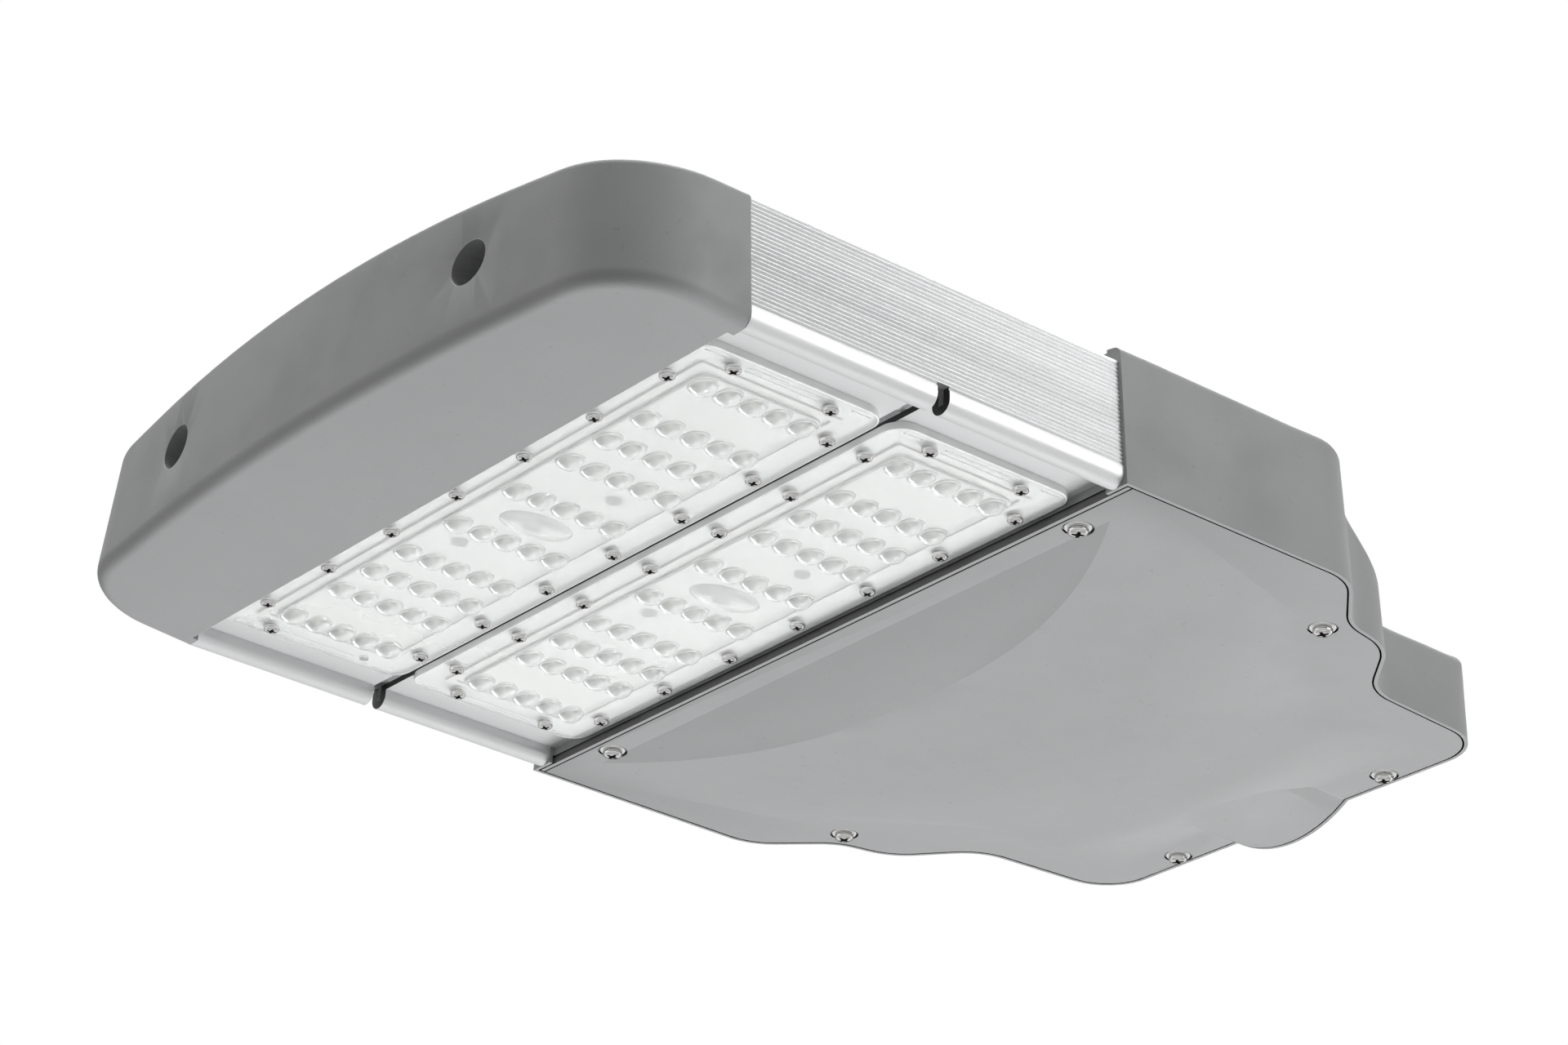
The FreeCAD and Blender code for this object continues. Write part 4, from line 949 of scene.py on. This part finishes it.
class STREETLIGHT_OT_lens_plates(bpy.types.Operator):
    """Clear lens plates with raised panels, rows of moulded domes and painted highlights on their
    edges
    """
    bl_idname = "streetlight.lens_plates"
    bl_label = "Lens plates"

    def execute(self, context):
        self.tree = make_setting_tree()
        self.one_dome = self.dome()
        for place, x in module_x.items():
            plate = self.plate("clear_lens_" + place, x, plate_outline, plate_bottom, flange_face,
                               (border_width * MM, flange_face))
            panel = self.plate("panel", x, panel_outline, plate_bottom - 0.4 * MM, panel_face)
            boolean(plate, panel, "UNION")
            boolean(plate, self.domes(place, panel_face), "UNION")
            boolean(plate, self.details(x), "UNION")
            boolean(plate, self.cuts(place, x), "DIFFERENCE")
            hollows = self.domes(place, flange_face + start_inside, share=0.56,
                                 height_share=0.95)
            boolean(plate, hollows, "DIFFERENCE")
            dress(plate, "clear_lens", "lens_edge_highlight")
            clean(plate.data)
            smooth(plate.data, 30)
            for face in plate.data.polygons:
                if abs(face.normal.z) > 0.9995:
                    face.use_smooth = False
                elif self.in_edge_highlight(face, x):
                    face.material_index = 1
            finish_piece(plate, "lens_plate_" + place)
        bpy.data.objects.remove(self.one_dome)
        return {"FINISHED"}

    def plate(self, name, x, outline, foot, face, *border):
        """Slab with a rounded lower edge."""
        edge = scene_settings("light_lens").edge_round
        bm = bmesh.new()
        slab(bm, x, outline, [(0, foot), (0, face + edge), (0.3 * edge, face + 0.3 * edge),
                              (edge, face), *border])
        return built(name, bm)

    def domes(self, place, foot, share=1.0, height_share=1.0):
        """Lens domes, or their hollows as a share of the domes' size."""
        sizes = scene_settings("light_lens")
        return run_tree("domes", dome_points(place, foot), self.tree, {
            "Piece": self.one_dome, "Width": share * sizes.dome_width,
            "Length": share * sizes.dome_length, "Height": height_share * sizes.dome_height,
            "Finish": finish_material("clear_lens")})

    def cuts(self, place, x):
        """Cavity over the board, screw holes and the hollow of the cable bulge."""
        bm = bmesh.new()
        slab(bm, x, cavity_outline, [
            (0, plate_bottom + MM), (0, flange_face + 0.4 * MM), (0.4 * MM, flange_face)])
        # One hole of the front module is cut but holds no screw, so its list lacks it
        empty_hole = (x + end_screw[0] * MM, end_screw[1] * MM, 0)
        for px, py, _ in lens_screw_points(place, flange_face) + [empty_hole]:
            skin_rings(bm, [circle(px, py, lens_hole_radius * MM, z, 20)
                            for z in (plate_bottom + MM, flange_face - MM)])
        self.cable_bulge(bm, x, 0.84, flange_face + start_inside)
        return built("cuts", bm)

    def details(self, x):
        """Fine ridges at both ends of the plate, and the bulge over the cable seal."""
        levels = ((0, flange_face + 0.2 * MM), (0, flange_face - 0.05 * MM),
                  (0.22 * MM, flange_face - 0.28 * MM))
        bm = bmesh.new()
        for end in (-1, 1):
            for start, stop, y in ridge_rows:
                middle, half = x + (start + stop) / 2 * MM, (stop - start) / 2 * MM
                skin_rings(bm, [[(middle + sx * (half - inset),
                                  end * y * MM + sy * (ridge_half_width * MM - inset), z)
                                 for sx, sy in ((1, 1), (-1, 1), (-1, -1), (1, -1))]
                                for inset, z in levels])
        self.cable_bulge(bm, x, 1.0, panel_face + start_inside)
        return built("details", bm)

    def cable_bulge(self, bm, x, size, foot):
        """Oval swelling over the place where the module's cable comes through."""
        profile = ((1.0, 0.0), (1.0, -0.35), (0.96, -0.75), (0.86, -1.4), (0.70, -2.0),
                   (0.48, -2.45), (0.22, -2.65))
        half_x, half_y = bulge_half
        skin_rings(bm, [oval(x, 0, half_x * size * share * MM, half_y * size * share * MM,
                             foot + size * drop * MM, 40) for share, drop in profile])

    def dome(self):
        """Free-form lens of unit size: a low foot, then a bulge that leans to one side."""
        profile = [(0.50, 0.12, 0), (0.50, 0.0, 0), (0.485, -0.10, 0), (0.45, -0.17, 0.0),
                   (0.435, -0.21, 0.01), (0.425, -0.34, 0.02), (0.39, -0.52, 0.035),
                   (0.33, -0.70, 0.05), (0.25, -0.85, 0.06), (0.16, -0.94, 0.065),
                   (0.07, -0.99, 0.07)]
        bm = bmesh.new()
        skin_rings(bm, [circle(lean, 0, r, z, 28) for r, z, lean in profile])
        return built("one_dome", bm, 60)

    def in_edge_highlight(self, face, x):
        """Outer side of the plate, and the sides of the fine ridges, which take the painted
        highlight.
        """
        half_x, half_y, corner = (size * MM for size in plate_outline)
        out_x = abs(face.center.x - x) - (half_x - corner)
        out_y = abs(face.center.y) - (half_y - corner)
        outer_side = math.hypot(max(out_x, 0), max(out_y, 0)) > corner - border_width * MM
        inner_end, outer_end = (y * MM for y in ridge_zone)
        proud = face.center.z < flange_face - 0.03 * MM
        return outer_side or (proud and inner_end < abs(face.center.y) < outer_end)


class STREETLIGHT_OT_fasteners(bpy.types.Operator):
    """Screws with cross recesses and washers, set out by their holes"""
    bl_idname = "streetlight.fasteners"
    bl_label = "Fasteners"

    washer_thickness = 0.9 * MM

    def execute(self, context):
        sizes = scene_settings("light_screw")
        self.tree = make_fastener_tree()
        self.head = self.pan_head()
        for place in ("front", "rear"):
            self.screws("lens_pan_screws_" + place, "lens_screws_" + place,
                        lens_screw_points(place, flange_face), sizes.turn_seed,
                        (sizes.lens_head_radius, 2.0 * MM, 1.5 * MM, 4.8 * MM))
            # Board screws take the dark slot aluminium: painted shade where they sit under the lens
            self.screws("board_pan_screws_" + place, "board_screws_" + place,
                        board_screw_points(place, board_face), sizes.turn_seed + 1,
                        (2.75 * MM, 1.3 * MM, 1.5 * MM, 3.2 * MM), "shaded_aluminium")
        self.washers(2 * sizes.washer_radius)
        self.screws("cover_pan_screws", "cover_screws",
                    [(x, y, rim_z) for x, y in cover_screw_places], sizes.turn_seed + 2,
                    (sizes.cover_head_radius, 2.4 * MM, 2.0 * MM, 16 * MM))
        bpy.data.objects.remove(self.head)
        return {"FINISHED"}

    def screws(self, name, node, points, seed, sizes, metal="stainless_screw"):
        """Screws of one size: radius and height of the head, radius and length of the shank."""
        head_radius, head_height, shank_radius, shank_length = sizes
        piece = run_tree(name, points, self.tree, {
            "Head": self.head, "Head Radius": head_radius, "Head Height": head_height,
            "Shank Radius": shank_radius, "Shank Length": shank_length, "Seed": seed,
            "Metal": finish_material(metal), "Recess": finish_material("recess")})
        finish_piece(piece, node)

    def pan_head(self):
        """Pan head of unit radius and height that hangs under its seat, with a cross recess."""
        profile = [(0.94, 0.0), (1.0, -0.06), (1.0, -0.42), (0.975, -0.60), (0.91, -0.76),
                   (0.80, -0.88), (0.66, -0.95), (0.45, -0.985), (0.2, -1.0)]
        bm = bmesh.new()
        skin_rings(bm, [circle(0, 0, r, z, 32) for r, z in profile])
        head = built("cross_head", bm, 40)
        self.flag_recess(head.data, False)
        outline = []
        for k in range(4):
            a = math.radians(90 * k)
            along = Vector((math.cos(a), math.sin(a), 0))
            across = Vector((-math.sin(a), math.cos(a), 0))
            outline += [along * u + across * v for u, v in (
                (0.56, -0.13), (0.60, -0.08), (0.60, 0.08), (0.56, 0.13), (0.21, 0.21))]
        bm = bmesh.new()
        skin_rings(bm, [[(p.x * s, p.y * s, z) for p in outline]
                        for s, z in ((1.08, -1.1), (0.92, -0.7), (0.45, -0.25))])
        tool = built("cross_head_recess", bm, 30)
        self.flag_recess(tool.data, True)
        boolean(head, tool, "DIFFERENCE")
        smooth(head.data, 40)
        return head

    def flag_recess(self, mesh, value):
        attribute = mesh.attributes.new("recess", "BOOLEAN", "FACE")
        attribute.data.foreach_set("value", [value] * len(mesh.polygons))

    def washers(self, width):
        washer = self.washer()
        seat_z = rim_z + self.washer_thickness
        rings = run_tree("cover_washer_rings", [(x, y, seat_z) for x, y in cover_screw_places],
                         make_setting_tree(), {
                             "Piece": washer, "Width": width, "Length": width,
                             "Height": self.washer_thickness,
                             "Finish": finish_material("stainless_screw")})
        bpy.data.objects.remove(washer)
        finish_piece(rings, "cover_washers")

    def washer(self):
        """Flat ring of unit width with rounded edges."""
        profile = [(0.47, 0.0), (0.50, -0.25), (0.50, -0.65), (0.485, -0.9), (0.45, -1.0),
                   (0.27, -1.0), (0.25, -0.8), (0.25, 0.0)]
        count = 40
        bm = bmesh.new()
        rings = [[bm.verts.new(point) for point in circle(0, 0, r, z, count)]
                 for r, z in profile]
        for inner, outer in zip(rings, rings[1:] + rings[:1]):
            for k in range(count):
                bm.faces.new((inner[k - 1], inner[k], outer[k], outer[k - 1]))
        return built("one_washer", bm, 50)


class STREETLIGHT_OT_finishes(bpy.types.Operator):
    """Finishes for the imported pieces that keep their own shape"""
    bl_idname = "streetlight.finishes"
    bl_label = "Finishes"

    def execute(self, context):
        slots = {part["node"]: part["material_slot"] for part in frame["record"]["subparts"]}
        # The cover gasket takes the dark seal instead of its own colour: painted shade in the gap
        # around the cover
        slots["cover_gasket"] = "painted_shade_seal"
        for name, node in frame["nodes"].items():
            dress(node, slots[name])
        return {"FINISHED"}


class STREETLIGHT_PT_panel(bpy.types.Panel):
    bl_idname = "STREETLIGHT_PT_panel"
    bl_label = "Street light head"
    bl_space_type = "VIEW_3D"
    bl_region_type = "UI"
    bl_category = "Street light"

    def draw(self, context):
        for step in STEPS:
            self.layout.operator("streetlight." + step)
        for group in SETTINGS:
            settings = scene_settings(group)
            for key in settings.__annotations__:
                self.layout.prop(settings, key)


STEPS = ("materials", "stage", "castings", "heat_sink", "lens_plates", "fasteners", "finishes")
SETTINGS = {"light_lens": LensSizes, "light_screw": ScrewSizes, "light_casting": CastingSizes,
            "light_finish": FinishColours, "light_stage": StageSizes}
OPERATORS = (STREETLIGHT_OT_materials, STREETLIGHT_OT_stage, STREETLIGHT_OT_castings,
             STREETLIGHT_OT_heat_sink, STREETLIGHT_OT_lens_plates, STREETLIGHT_OT_fasteners,
             STREETLIGHT_OT_finishes)


def register():
    for name, group in SETTINGS.items():
        bpy.utils.register_class(group)
        setattr(bpy.types.Scene, name, PointerProperty(type=group))
    for operator in OPERATORS:
        bpy.utils.register_class(operator)
    bpy.utils.register_class(STREETLIGHT_PT_panel)


def unregister():
    bpy.utils.unregister_class(STREETLIGHT_PT_panel)
    for operator in reversed(OPERATORS):
        bpy.utils.unregister_class(operator)
    for name, group in SETTINGS.items():
        delattr(bpy.types.Scene, name)
        bpy.utils.unregister_class(group)


def main():
    register()
    for step in STEPS:
        getattr(bpy.ops.streetlight, step)()


if __name__ == "__main__":
    main()
